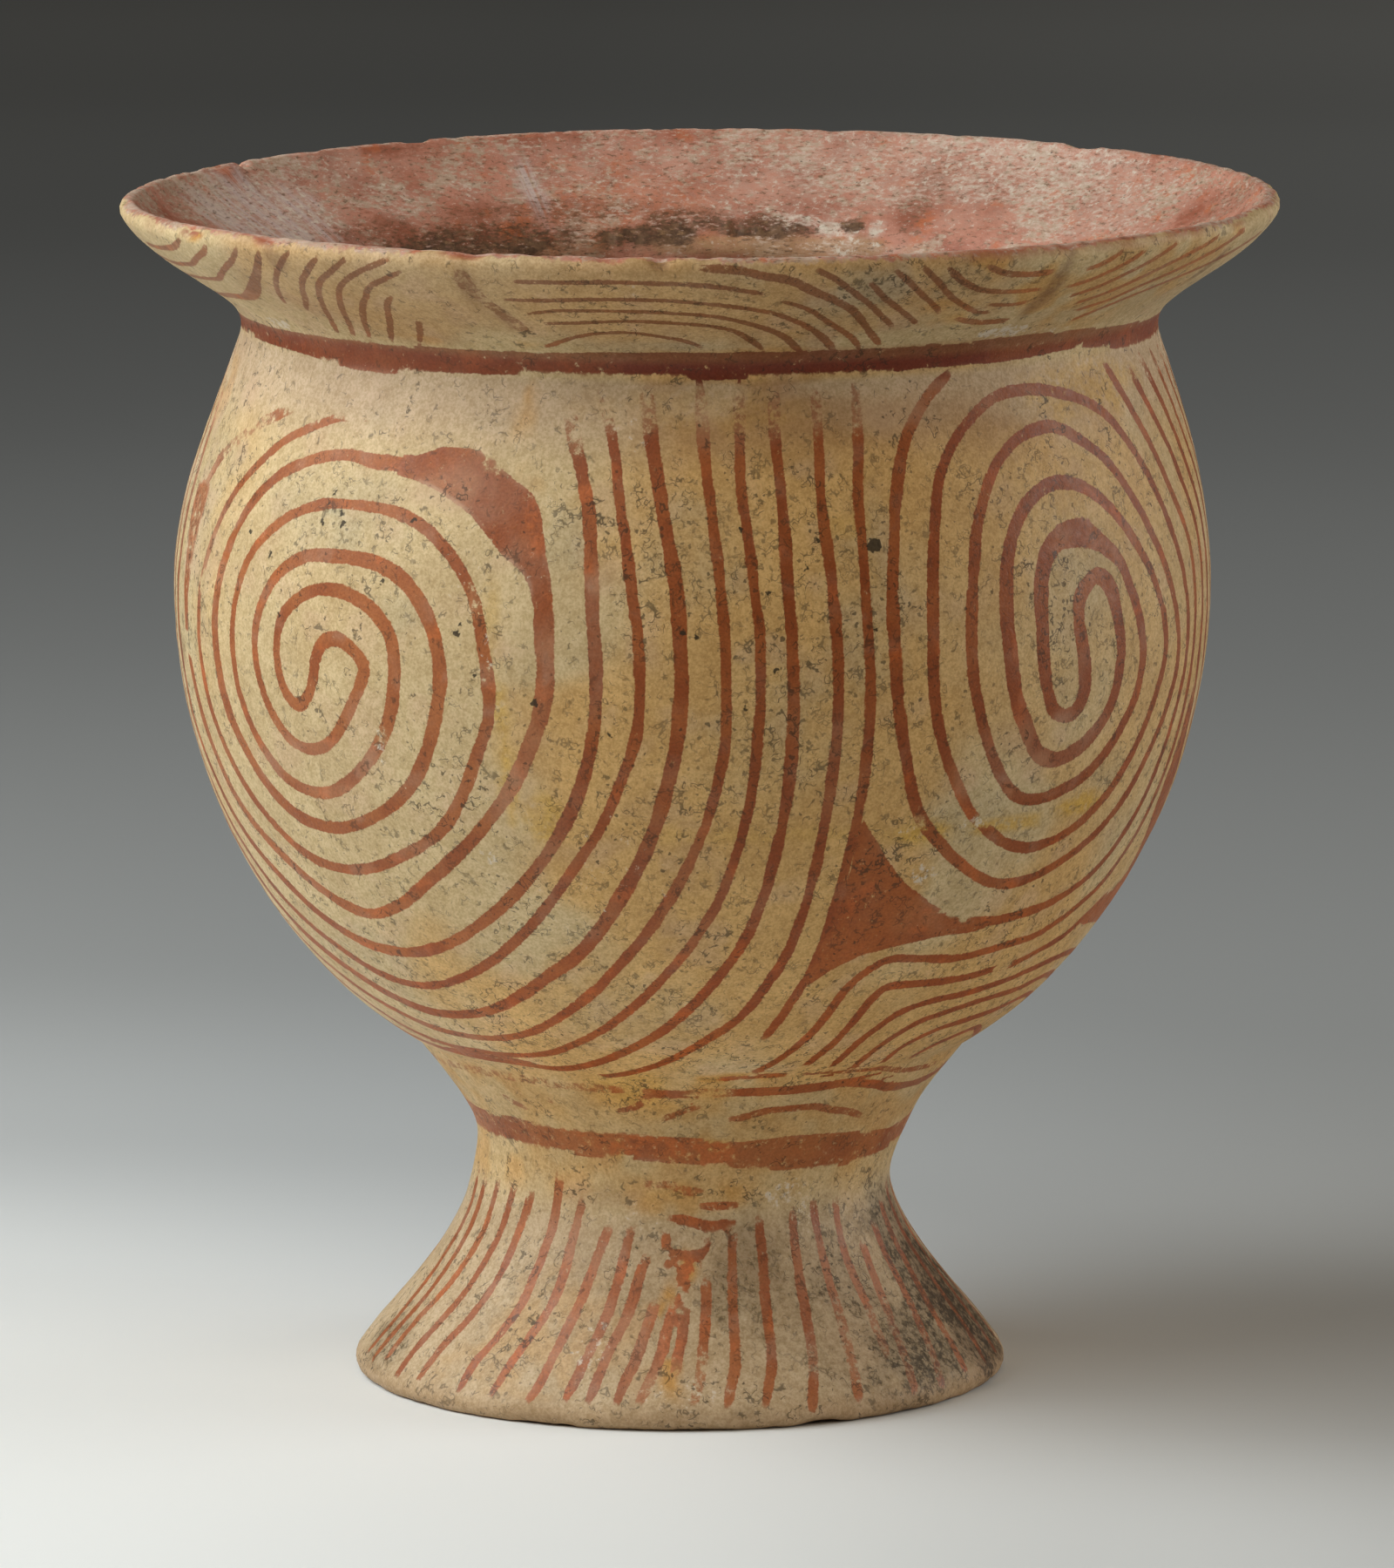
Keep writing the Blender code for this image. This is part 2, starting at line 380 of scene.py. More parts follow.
def rings():
    """(down, number of points) of every row of the skin."""
    knots, between_rows, between_points = (np.array(column) for column in zip(*ROW_PLAN))
    downs = [DOWN[0]]
    while downs[-1] < DOWN[-1]:
        downs.append(downs[-1] + float(np.interp(downs[-1], knots, between_rows)))
    downs = np.array(downs)
    downs = DOWN[0] + (downs - downs[0]) * (DOWN[-1] - DOWN[0]) / (downs[-1] - downs[0])
    rows = []
    for down in downs:
        radius = float(radius_at(down))
        spacing = float(np.interp(down, knots, between_points))
        if radius >= SMALLEST_RING_MM:
            steps = max(1, round(math.tau * radius / spacing / POINTS_STEP))
            rows.append((float(down), POINTS_STEP * steps))
    return [(float(DOWN[0]), 1)] + rows + [(float(DOWN[-1]), 1)]


def stitch(first, n, second, m):
    """The faces between two neighbouring rows of n and m points."""
    if n == m:
        return [(first + i, second + i, second + (i + 1) % n, first + (i + 1) % n) for i in range(n)]
    if n == 1:
        return [(first, second + i, second + (i + 1) % m) for i in range(m)]
    if m == 1:
        return [(first + i, second, first + (i + 1) % n) for i in range(n)]
    faces = []
    i = j = 0
    while i < n or j < m:
        if j == m or (i < n and (i + 1) * m <= (j + 1) * n):
            faces.append((first + i % n, second + j % m, first + (i + 1) % n))
            i += 1
        else:
            faces.append((first + i % n, second + j % m, second + (j + 1) % m))
            j += 1
    return faces


def skin_points():
    """(u, down) of every point and the faces that join them."""
    rows = rings()
    u, down, faces = [], [], []
    start = 0
    for index, (level, count) in enumerate(rows):
        u.append((np.arange(count) / count - 0.5) * ROUND_MM)
        down.append(np.full(count, level))
        if index + 1 < len(rows):
            faces += stitch(start, count, start + count, rows[index + 1][1])
        start += count
    return np.concatenate(u), np.concatenate(down), faces


def around(u, centre):
    """How far round the belly u lies from centre, the short way."""
    return (u - centre + HALF_ROUND_MM) % ROUND_MM - HALF_ROUND_MM


def patches(u, down, points, spots, seed, fray=0.28, grain=7.0):
    """Soft-edged patches from 0 to 1, each (u, down, half width, half height, strength)."""
    torn = fray * noise(points, grain, seed) + 0.5 * fray * noise(points, grain * 0.4, seed + 1)
    total = np.zeros(len(u))
    for centre_u, centre_down, half_u, half_down, strength in spots:
        far = np.hypot(around(u, centre_u) / half_u, (down - centre_down) / half_down) + torn
        total = np.maximum(total, strength * (1.0 - smooth(far, 0.55, 1.15)))
    return total


# Chips out of the lip and out of the edge of the foot: u, down, half width, half height, depth
CHIPS = (
    (-9, 1.5, 3.2, 3, 1.3), (-52, 1, 4.5, 3, 0.9), (-110, 1.5, 4, 3.5, 1.1), (-139, 2.5, 6, 3, 0.7),
    (-292, 0, 2.6, 4, 1.8), (-280, -1.5, 9, 2.5, 0.8), (90, 1, 4, 3, 0.9), (158, 2.5, 9, 4, 0.8),
    (207, 1, 5, 3, 1), (320, 0.5, 7, 3, 1.2), (390, 1.5, 4, 3, 0.9), (-350, 1, 5, 3, 1),
    (-200, 1.5, 4, 3, 0.8), (28, 361, 9, 3, 0.9), (60, 364, 14, 3, 0.8), (-60, 363, 20, 3, 0.5),
    (140, 361, 12, 4, 0.9), (250, 362, 16, 4, 1.1), (-240, 362, 12, 4, 0.9), (400, 361, 10, 5, 1.2),
)
# Old joins, mended: u at the top, down, u at the bottom, down, half width, depth
JOINS = (
    (-54, -48, -54, 47, 2.2, 0.25), (90, -48, 89, 47, 2, 0.25), (157, -20, 158, 30, 2, 0.2),
    (-52, 50, -50, 108, 1.4, 0.16), (-50, 108, -54, 166, 1.3, 0.14), (-54, 167, 50, 168, 1, 0.1),
    (50, 168, 165, 166, 1.1, 0.16), (-292, -40, -290, 80, 1.6, 0.22), (-290, 80, -318, 190, 1.4, 0.18),
    (330, 20, 322, 150, 1.4, 0.2),
)
LEVEL_JOIN_MM = 5.0
JOIN_WANDER = 1.6
# Low inside the rim, as patches: crumbling clay, notches, and the ledge under them
CRUMBLED = (
    (0, -56, 500, 6, 0.8), (-356, -40.5, 54, 7, 1), (400, -41, 50, 6, 0.7), (380, -36, 20, 4, 1.1),
    (-330, -26, 30, 8, 0.35),
)
NOTCHED = ((412, -38.5, 19, 3.6, 1),)
LEDGE = ((400, -44, 52, 3.4, 1.2), (-370, -44, 30, 2.5, 0.6))
NOTCH_MM = 5.2
NOTCH_DEPTH, LEDGE_HEIGHT = 0.9, 0.5
# Between which millimetres the wear of the lip fades out, the scraping inside begins, the wear of the
# foot's edge begins and, counted from the ground, ends again
LIP_WEAR = (2.5, 7.0)
BOWL_WEAR = (2.0, 10.0)
FOOT_EDGE_WEAR = (346.0, 360.0)
FOOT_EDGE_END = (5.0, 12.0)


def relief(u, down, points):
    """How far the skin stands off the smooth form, in millimetres, below zero for inwards."""
    on_lip = 1.0 - smooth(np.abs(down), *LIP_WEAR)
    on_foot_edge = smooth(down, *FOOT_EDGE_WEAR) * (1.0 - smooth(down - GROUND, *FOOT_EDGE_END))
    in_bowl = smooth(-down, *BOWL_WEAR)
    on_body = (1.0 - on_lip) * (1.0 - on_foot_edge)
    dents = 0.30 * noise(points, 46.0, 11) + 0.16 * noise(points, 19.0, 12)
    height = on_body * (dents + 0.07 * noise(points, (13.0, 13.0, 4.5), 13))
    height += 0.035 * noise(points, 3.6, 14)
    height -= on_lip * (0.12 + 0.45 * (raised(points, 4.2, 15) + 0.7 * raised(points, 2.1, 16)))
    height -= on_foot_edge * (0.15 + 0.35 * raised(points, 6.0, 17) + 0.25 * raised(points, 2.6, 18))
    crumbs = raised(points, 3.2, 19) - 0.5 * raised(points, 4.4, 24)
    height += in_bowl * patches(u, down, points, CRUMBLED, 31) * crumbs
    notches = np.maximum(0.0, np.sin(math.tau * u / NOTCH_MM + noise(points, 9.0, 32)))
    height += LEDGE_HEIGHT * patches(u, down, points, LEDGE, 34)
    height -= NOTCH_DEPTH * patches(u, down, points, NOTCHED, 33) * notches
    scraped = 0.16 * noise(points, (9.0, 9.0, 4.0), 20) + 0.09 * noise(points, (5.0, 5.0, 2.6), 25)
    height += in_bowl * scraped
    for centre_u, centre_down, half_u, half_down, depth in CHIPS:
        far = np.hypot(around(u, centre_u) / half_u, (down - centre_down) / half_down)
        height -= depth * (1.0 - smooth(far + 0.2 * noise(points, 2.4, 21), 0.35, 1.0))
    for top_u, top, bottom_u, bottom, half, depth in JOINS:
        if abs(bottom - top) > LEVEL_JOIN_MM:
            along = np.clip((down - top) / (bottom - top), 0.0, 1.0)
        else:
            along = np.clip(around(u, top_u) / (bottom_u - top_u), 0.0, 1.0)
        near_u, near = top_u + along * (bottom_u - top_u), top + along * (bottom - top)
        wander = JOIN_WANDER * noise(points, 11.0, 22)
        far = np.hypot(around(u, near_u) + wander, down - near + wander)
        height -= depth * (1.0 - smooth(far, 0.3 * half, half)) * (1.0 + 0.6 * noise(points, 3.0, 23))
    return height


# The painting. Every stroke runs through a few points (u, down), some with their own half width.
# The two arms of each spiral start at its middle
ROUND_SPIRAL = (
    ((-106, 127, 1.7), (-103, 122), (-97, 120.5, 1.9), (-90, 124.5), (-89, 128, 1.8), (-92, 134),
     (-97, 142), (-104, 148.5), (-112, 150.5), (-120, 148), (-127, 140), (-130.5, 128, 1.4),
     (-128.5, 117), (-122, 107), (-112, 101), (-100, 99.5, 1.85), (-88, 100), (-77, 104), (-69, 113),
     (-66, 124, 2.1), (-67, 135), (-71, 147), (-78, 157), (-88, 165), (-100, 170, 1.7), (-112, 172),
     (-124, 170), (-135, 163.5), (-145, 152), (-150, 141), (-152.5, 128, 2.1), (-151, 115, 1.9),
     (-147, 103), (-140, 91), (-130, 82, 1.5), (-118, 76.5), (-105, 73.7, 1.7), (-95, 74.6, 2),
     (-85, 75, 2.2), (-70, 76.5), (-55, 83), (-45, 92), (-39, 102, 1.9), (-37.5, 112, 2.4),
     (-37, 124, 2.4), (-39, 137), (-46, 152), (-54, 163, 1.9), (-64, 173), (-78, 184), (-92, 193),
     (-105, 197, 1.7), (-118, 195), (-132, 189), (-148, 180), (-160, 170), (-168, 157), (-173, 145),
     (-176.5, 133, 1.9), (-177, 120, 2.2), (-178, 105), (-177, 94), (-173, 87, 1.6), (-167, 80),
     (-158, 75), (-150, 71), (-141, 67.5), (-131, 63.5), (-120, 59)),
    ((-106, 127, 1.7), (-107, 132), (-110, 137), (-114, 139), (-119, 135), (-121, 127, 1.45),
     (-119, 118), (-113, 112), (-105, 108.5, 1.75), (-96, 108.5), (-87, 111.5), (-81, 117),
     (-79, 125, 2.2), (-80, 134), (-82.5, 141), (-87, 148), (-94, 155), (-103, 160.5, 1.7),
     (-113, 162.5), (-124, 160), (-133, 153), (-139, 143), (-142, 130, 1.35), (-141, 118), (-137, 107),
     (-130, 98), (-120, 91), (-108, 87), (-95, 86, 1.5), (-83, 87), (-72, 91), (-63, 98), (-57, 106),
     (-54, 116), (-52.5, 128, 1.8), (-53, 138), (-57, 148), (-63, 160), (-72, 170), (-84, 177),
     (-97, 182), (-110, 184), (-124, 182), (-137, 176), (-148, 167), (-156, 157), (-161, 147),
     (-164.5, 133, 1.45), (-164, 120), (-161, 108), (-157, 98), (-151, 89), (-142, 80.5), (-132, 73),
     (-122, 68.5), (-112, 65), (-103.5, 64), (-93, 63.5, 1.2), (-82, 63.3)),
)
TALL_SPIRAL = (
    ((116, 106.3, 2), (110.5, 110.5, 2.3), (109.8, 117), (110.7, 122, 2.3), (112.2, 130),
     (112.4, 136, 2.2), (110, 140.2), (106, 141.3, 1.8), (101, 138.5), (98, 131), (96.2, 119, 2.3),
     (96.2, 108), (98, 101), (102, 96.5, 2.8), (109, 94.7, 3.5), (115, 95.5, 3.1), (121.5, 99, 2.4),
     (127.5, 103.7, 1.8), (131, 110), (134.5, 117), (137, 124), (137.6, 131), (136, 139), (132, 146),
     (127, 152), (119.5, 157.7), (111, 161, 1.7), (101, 163), (92, 160.5), (84, 152), (78, 140),
     (74.5, 128, 1.7), (73.5, 115), (75, 100), (78, 88), (84, 77), (92, 70), (101, 67), (110, 67),
     (119, 71), (128, 77, 1.5), (138, 88), (145, 98), (152, 109), (157.5, 121, 1.4), (160, 133),
     (157, 145), (150, 157), (143, 167), (133, 176), (120, 183), (105, 187, 1.6), (92, 186), (80, 180),
     (70, 172), (62, 163), (57, 150), (53.5, 135), (52, 120, 1.65), (51.5, 105), (52.5, 90), (54, 80),
     (58, 67), (66, 57), (76, 50)),
    ((116, 106.3, 2), (120, 107.3, 2.2), (123.3, 111, 2.5), (125, 117), (126.7, 123, 1.8), (127, 129),
     (125.7, 137), (122.5, 143.5), (116, 149), (110, 151.5), (105, 152.5, 2.2), (99.5, 151),
     (96, 148, 2.4), (92, 142), (88, 133.5), (85.7, 122), (84.5, 110, 2.3), (85.7, 99), (89, 91.5),
     (95, 85, 1.9), (103, 81.5), (110, 81.5), (118, 84), (128, 91, 1.5), (137, 101), (144, 110),
     (149, 120), (150.5, 130, 1.55), (148, 140), (142, 152), (134, 163), (125, 170), (115, 175, 1.5),
     (104, 177), (94, 175), (85, 170), (77, 163), (70, 152), (65, 140, 1.7), (63, 128), (62.5, 115),
     (63, 100), (64.5, 88), (67, 77), (73, 68), (80, 62), (88, 58), (97, 56.5), (107, 57), (118, 59.5),
     (128, 63), (136, 68), (146, 79), (155, 93), (162, 107, 1.35), (166.5, 122), (167, 136), (164, 150),
     (160.5, 162), (156, 173), (148, 183.6), (140, 190), (128, 194.8, 1.5), (116, 197.6), (100, 198.8),
     (86, 197)),
)
# The wave that rises between the two spirals, line by line, from under the neck to below the round
# one, and the half width of each line
WAVE = (
    ((-37, 57), (-34, 66), (-31, 75), (-28, 85), (-26.5, 95), (-25, 110), (-24, 125), (-25, 140),
     (-28, 152), (-33, 163), (-41, 175), (-51, 186), (-63, 195), (-77, 203), (-92, 208), (-106, 209),
     (-120, 207), (-135, 201), (-150, 192), (-163, 183)),
    ((-28.5, 51), (-23, 68), (-21, 78), (-18, 90), (-15.5, 102), (-13.5, 115), (-13, 128), (-14, 140),
     (-18, 152), (-24, 165), (-31, 175), (-41, 188), (-52, 199), (-66, 209), (-80, 216), (-94, 220),
     (-106, 221), (-120, 219), (-135, 213), (-150, 206), (-164, 196)),
    ((-15.5, 51), (-13, 65), (-10, 78), (-7, 90), (-4, 103), (-3, 115), (-2.5, 128), (-4, 143),
     (-7, 157), (-12, 170), (-18, 182), (-26, 194), (-36, 205), (-50, 215), (-66, 224), (-82, 230),
     (-96, 232), (-110, 231.5), (-125, 228), (-140, 222), (-157, 214), (-172, 203)),
    ((0, 50.5), (1, 65), (3, 78), (5, 90), (7, 103), (8, 115), (8.5, 130), (8, 145), (5, 160), (0, 173),
     (-6, 185), (-14, 197), (-24, 209), (-37, 221), (-52, 231), (-68, 238), (-84, 241.5), (-100, 242),
     (-115, 240.5), (-132, 236), (-150, 230), (-168, 220)),
    ((11, 51), (11, 68), (11.5, 78), (13.5, 90), (15.5, 103), (17, 115), (17, 130), (16.5, 145),
     (15, 158), (12, 172), (8, 185), (1, 198), (-7, 209), (-18, 221), (-32, 232), (-48, 241),
     (-64, 247), (-82, 250), (-100, 250.5), (-120, 250), (-142, 246), (-162, 239), (-182, 226)),
    ((21, 51), (21, 65), (22, 78), (23, 90), (24, 103), (25, 115), (25.5, 130), (25.5, 145),
     (24.5, 158), (22.5, 172), (20, 185), (15, 200), (8, 212), (0, 222), (-10, 232), (-22, 240),
     (-40, 249), (-60, 255), (-80, 255), (-110, 255), (-145, 253), (-172, 248), (-192, 236)),
    ((33, 51), (33, 68), (33, 80), (34.5, 95), (36, 110), (37, 125), (37, 138), (36.5, 150),
     (35.5, 165), (34, 178), (32, 190), (29, 203), (25, 213), (20, 222), (13, 230), (3, 238), (-8, 246),
     (-20, 252), (-35, 257), (-50, 259)),
    ((45, 50.5), (44, 68), (43, 85), (44, 100), (45, 120), (45.5, 140), (44.5, 160), (43, 175),
     (41, 190), (39, 205), (36, 215), (31, 228), (26, 239)),
)
WAVE_HALVES = (1.75, 1.45, 1.87, 1.45, 1.35, 1.55, 1.45, 1.4)
# This many of its lines run on round the foot of the round spiral in one stroke
JOINED_WAVE_LINES = 6
# Its two outermost lines on the far side of the round spiral; the others lie evenly between them
WAVE_NEAREST = (
    (-200, 52), (-194, 68), (-191, 79), (-189.5, 93), (-189, 108), (-189, 128), (-186, 148),
    (-181, 160), (-172, 173),
)
WAVE_FARTHEST = (
    (-284, 52), (-273, 68), (-266, 79), (-257, 93), (-250, 108), (-249, 128), (-249, 150), (-245, 165),
    (-239, 185), (-231, 205), (-223, 222), (-212, 239),
)
# The humps nested below the tall spiral
HUMPS = (
    ((26, 256), (35, 250), (43, 239), (48, 228), (52, 218), (58, 211.5), (65, 208), (76, 208.8),
     (88, 210), (100, 209.6), (112, 208), (124, 206.8), (136, 203), (145, 198.7), (152, 195),
     (159, 188), (165.6, 178), (169.6, 166), (172, 154), (174, 135), (173.5, 120), (171, 104),
     (165, 93), (157, 79), (150, 68), (139, 52)),
    ((50, 254), (56, 243), (59.5, 233), (62.4, 224.4), (66.4, 219), (72, 218), (92, 218.4), (104, 218),
     (112, 216.8), (122, 216), (133, 213.5), (144, 210.8), (151, 207.4), (160, 202.8), (168, 199)),
    ((64.8, 256), (66.4, 247.6), (68.8, 240.4), (72.8, 234.8), (77.6, 230), (84, 227.6), (92, 226),
     (108, 224.8), (120, 223.6), (132, 222), (144, 220.4), (156, 219.6), (172, 220.4), (187, 223),
     (198, 230), (208, 242)),
    ((78.4, 259), (79.2, 250.8), (81.6, 244.4), (86.4, 238.8), (92, 234.8), (100, 232.8), (112, 230.8),
     (124, 229.6), (136, 228.8), (148, 228), (164, 227.4), (180, 230), (190, 237), (198, 248)),
    ((95.2, 257.5), (94.4, 250), (97.6, 245.2), (104, 241.2), (112, 239.2), (124, 238), (136, 236.8),
     (148, 235.8), (160, 235), (175, 237), (185, 244), (191, 253)),
    ((112, 258), (116, 251), (124, 247.6), (132, 245.4), (140, 244.8), (148, 247.6), (156, 250.8),
     (164, 254)),
)
# Solid red where the lines part: two by the round spiral's shoulders, two by the tall one's hips
WEDGES = (
    ((-85, 72.6), (-80, 72), (-76, 70.4), (-71, 69.2), (-63, 69.5), (-57.5, 71.3), (-52, 74.8),
     (-47, 78), (-43, 81), (-40.5, 85), (-39.5, 90), (-37, 99), (-36, 108), (-39.5, 110), (-43, 101),
     (-49.5, 96), (-53.5, 92), (-57.5, 88.5), (-62.5, 85.3), (-67.5, 82.8), (-73, 80.4), (-80, 78.4),
     (-86, 77.2)),
    ((-183.5, 89.5), (-177, 88.6), (-170.5, 90), (-171, 98), (-173, 108), (-175, 119), (-178.5, 119),
     (-181, 108), (-183.5, 98)),
    ((45.5, 163), (52, 172), (62, 183), (75, 192), (88, 197.5), (102, 198.5), (92, 201.5), (75, 202),
     (60, 204.5), (48, 208), (37, 214.5), (41, 197), (44, 180)),
    ((180, 140), (184, 155), (188, 170), (192, 186), (196, 200), (204, 220), (188, 213), (172, 210.5),
     (154, 208), (158, 204.5), (168, 200), (178, 195), (177, 184), (174, 172), (176, 156)),
)
# Bands round the neck and above the foot: u, upper edge, lower edge
NECK_BAND = (
    (-180, 45, 50), (-140, 45, 50.5), (-112, 44.5, 52), (-98, 44.5, 52), (-85, 44, 51), (-50, 43, 50),
    (0, 42, 50), (45, 42, 50), (65, 41.5, 49), (100, 41, 49), (125, 42, 48), (150, 43.5, 50.5),
    (175, 44, 51), (260, 45, 52), (340, 43, 50), (423, 43, 51), (560, 44, 51),
)
FOOT_BAND = (
    (-180, 280, 288.5), (-100, 280, 289), (-40, 280.5, 289.3), (0, 281.5, 290), (25, 283.3, 291),
    (60, 282.4, 292.8), (110, 283.5, 294.3), (150, 286, 293), (210, 283, 291), (300, 281, 290),
    (423, 280, 289), (560, 281, 290),
)
# The lines under the flare of the rim, by groups of (half width, tone, lines)
RIM_LINES = (
    (0.92, 0.25, (
        ((-180, 12), (-167.5, 11.5), (-158, 10.4), (-150, 8.4), (-143, 5)),
        ((-190, 17), (-170, 18.2), (-159.4, 16.9), (-150, 14.9), (-141.9, 11.5), (-135, 8.1),
         (-131.7, 4.5)),
        ((-185, 25), (-164.8, 24.3), (-155.4, 23), (-144.6, 20.9), (-137.8, 17.6), (-131, 13.5),
         (-124.3, 9.5), (-118.9, 4.5)),
        ((-188, 35), (-168.9, 33.8), (-155.4, 31.8), (-140.5, 29, 1.8), (-131, 24.3, 2.2),
         (-124.3, 18.9, 1.6), (-117.5, 12.8), (-110.8, 4.5)),
        ((-124.3, 31), (-120.2, 24.3), (-113.5, 16.2), (-106.7, 9.5), (-100.6, 4)),
        ((-117.5, 32.4), (-111.4, 25.7), (-105.4, 17.6), (-98.6, 10.8), (-91.9, 4.5)),
        ((-116.2, 44), (-111.4, 35.8), (-106.7, 27.7), (-102.7, 21.6), (-97.3, 14.9), (-90.5, 9.5),
         (-83.7, 4)),
        ((-109.4, 44), (-105.4, 37.2), (-100.6, 29), (-95.2, 20.9), (-90.5, 14.9), (-82.4, 8.8),
         (-71.6, 3.8)),
        ((-102.7, 44), (-98.6, 36.5), (-91.9, 27), (-86.4, 20.3), (-82.4, 14.9), (-77, 11.5),
         (-69.5, 7.4)),
        ((-94.5, 44), (-90.5, 37.8), (-85, 29), (-81, 22.3), (-77, 17.6)),
        ((-84.4, 44), (-80.4, 37.8), (-76, 30)),
    )),
    (0.85, 0.1, (
        ((-44, 9.3), (-32, 8.9), (-17.6, 8.7), (-5, 9), (3, 10), (9.8, 11.5), (16.5, 13.4)),
        ((-48.6, 17.3), (-37.8, 16.8), (-25.6, 15.8), (-13.5, 15.8), (-5, 16.3), (3, 17.6),
         (11.1, 19.6), (17.9, 22.3, 1), (23.3, 26.4, 1.1), (28.7, 31.1, 1.1), (34.1, 37.2, 1.1),
         (38.1, 43.2, 1.1)),
        ((-44.6, 24.3), (-35.1, 21.6), (-25.6, 21.2), (-14.8, 21.6), (-5, 22.5), (1.7, 23.2),
         (8.4, 25.7), (13.8, 29, 1), (21.9, 35.1, 1.1), (28.7, 43.2, 1.1)),
        ((-41.9, 29), (-35.1, 28), (-22.9, 27), (-14.8, 26.8), (-5, 27.7), (1.7, 29), (8.4, 31.8),
         (13.1, 36.5, 1), (17.9, 42, 1)),
        ((-44.6, 41.4), (-39.8, 39.2), (-33.7, 35.6), (-26, 33.2), (-16.2, 33.1), (-5, 36.5), (2, 41)),
    )),
    (0.98, 0.3, (
        ((-2, 3.8), (8.4, 4.7), (13.8, 6.1), (20.6, 8.1, 1.4), (26, 12.2, 1.5), (31.4, 16.2, 1.5),
         (36.8, 20.9, 1.3), (41.5, 27.7), (46.3, 35.1), (51.7, 42)),
        ((17.9, 15.9), (21.9, 17.6), (27.3, 21.6), (31.4, 26.4), (36.8, 31.8), (42.2, 37.8), (45.6, 43)),
        ((24.6, 3.8), (30, 7.4), (35.4, 12.8), (40.9, 18.9), (46.3, 25.7), (52, 33)),
        ((38.1, 8.1), (43.5, 15.5), (48.9, 21.6), (54.4, 27.7), (58.4, 32.4)),
        ((43.5, 4.7), (48.9, 10.1), (54.4, 16.9), (59.8, 23), (62.5, 27)),
        ((50.3, 4.1), (55.7, 10.1), (61.1, 16.9), (66.5, 21.6), (71.9, 25.7), (78.7, 27.7)),
    )),
    (1.1, 0.55, (
        ((56.4, 4.7), (62.5, 10.8), (69.2, 15.1), (78.7, 16.9), (88.1, 16.5)),
        ((66.5, 5.4), (73.3, 8.8), (81.4, 9.7), (88.1, 9.3)),
        ((66.5, 28.4), (76, 31.8, 1.5), (88.1, 32.4, 1.6)),
        ((73, 22.5), (81, 23.5), (88, 22.5)),
        ((94.9, 10.8), (101.7, 8.1), (107, 4.1)),
        ((93.5, 17.6), (101.7, 14.2), (108.4, 10.1), (115.2, 5)),
        ((97.6, 22.3), (105.7, 18.9), (113.8, 13.5), (121.9, 8.1), (127.3, 4.1)),
        ((103, 27), (111.1, 23.6), (120.6, 17.6), (130, 12.2), (138.1, 8.1), (146, 4.5)),
        ((107, 31.8), (116.5, 28.4), (126, 22.3), (135.4, 16.9), (143.5, 12.8), (153, 8.5), (162, 5)),
        ((111, 37.8), (121.9, 31.8), (131.4, 26.4), (140.8, 22.3), (152, 18), (166, 13), (182, 9)),
    )),
)
# Slanting lines down the front of the foot, leaning as they go
FOOT_LINES = (
    ((-178, 297), (-179, 320), (-181, 345), (-184, 358)),
    ((-162, 298), (-163, 320), (-165, 335), (-170, 348), (-172, 359)),
    ((-144, 297), (-145, 315), (-149, 330), (-156, 342), (-160, 357)),
    ((-125, 297), (-128, 315), (-131, 330), (-136, 340), (-141, 350), (-143, 360)),
    ((-106, 298), (-111, 312), (-112, 325), (-117, 338), (-124, 348), (-127, 359)),
    ((-88, 292), (-84, 305), (-87, 320), (-88, 330), (-94, 342), (-99, 350), (-100, 359)),
    ((-65, 298), (-68, 312), (-69, 325), (-73, 335), (-79, 346), (-84, 359)),
    ((-43, 304), (-50, 315), (-55, 330), (-59, 342), (-62, 352), (-66, 359)),
    ((-29, 304), (-32.5, 311), (-36.5, 325), (-39.5, 335), (-45, 348), (-49, 358)),
    ((-18, 311.5), (-23.5, 320), (-27, 330), (-32.3, 340), (-35.8, 350), (-39, 358)),
    ((-12, 324), (-16.7, 335), (-19.5, 343), (-24, 351), (-27, 358)),
    ((-1.5, 324), (-6, 334), (-8, 341), (-13, 350), (-17.5, 357)),
    ((3.5, 325), (1.7, 335), (-1.2, 345), (-3, 350)),
    ((14.7, 317), (14.5, 325), (12.5, 335), (10.5, 345), (8, 351.5), (5, 358)),
    ((34, 305), (31.5, 315), (29, 325), (27.2, 335), (25.5, 345), (22.2, 352), (19.5, 359)),
    ((51.7, 302), (50.5, 315), (48, 325), (45, 335), (42.2, 345), (39, 351), (35, 359)),
    ((76, 301), (72, 318), (68, 330), (64, 343), (58, 355), (55, 362)),
    ((91, 299), (91, 315), (87, 332), (83, 345), (77, 360)),
    ((112, 300), (108, 318), (106, 335), (102, 350)),
    ((128, 312), (121, 330), (116, 340), (111, 352), (107, 361)),
    ((146, 308), (142, 328), (133, 346), (124, 361)),
    ((166, 303), (160, 325), (152, 343), (146, 359)),
)
# Those round the rest of the foot: millimetres from one to the next, and lean and level by turns
FOOT_LINE_GAP = 20.1
FOOT_LINE_PATH = ((0.0, 300.0), (-4.5, 322.0), (-9.0, 340.0), (-18.0, 359.0))
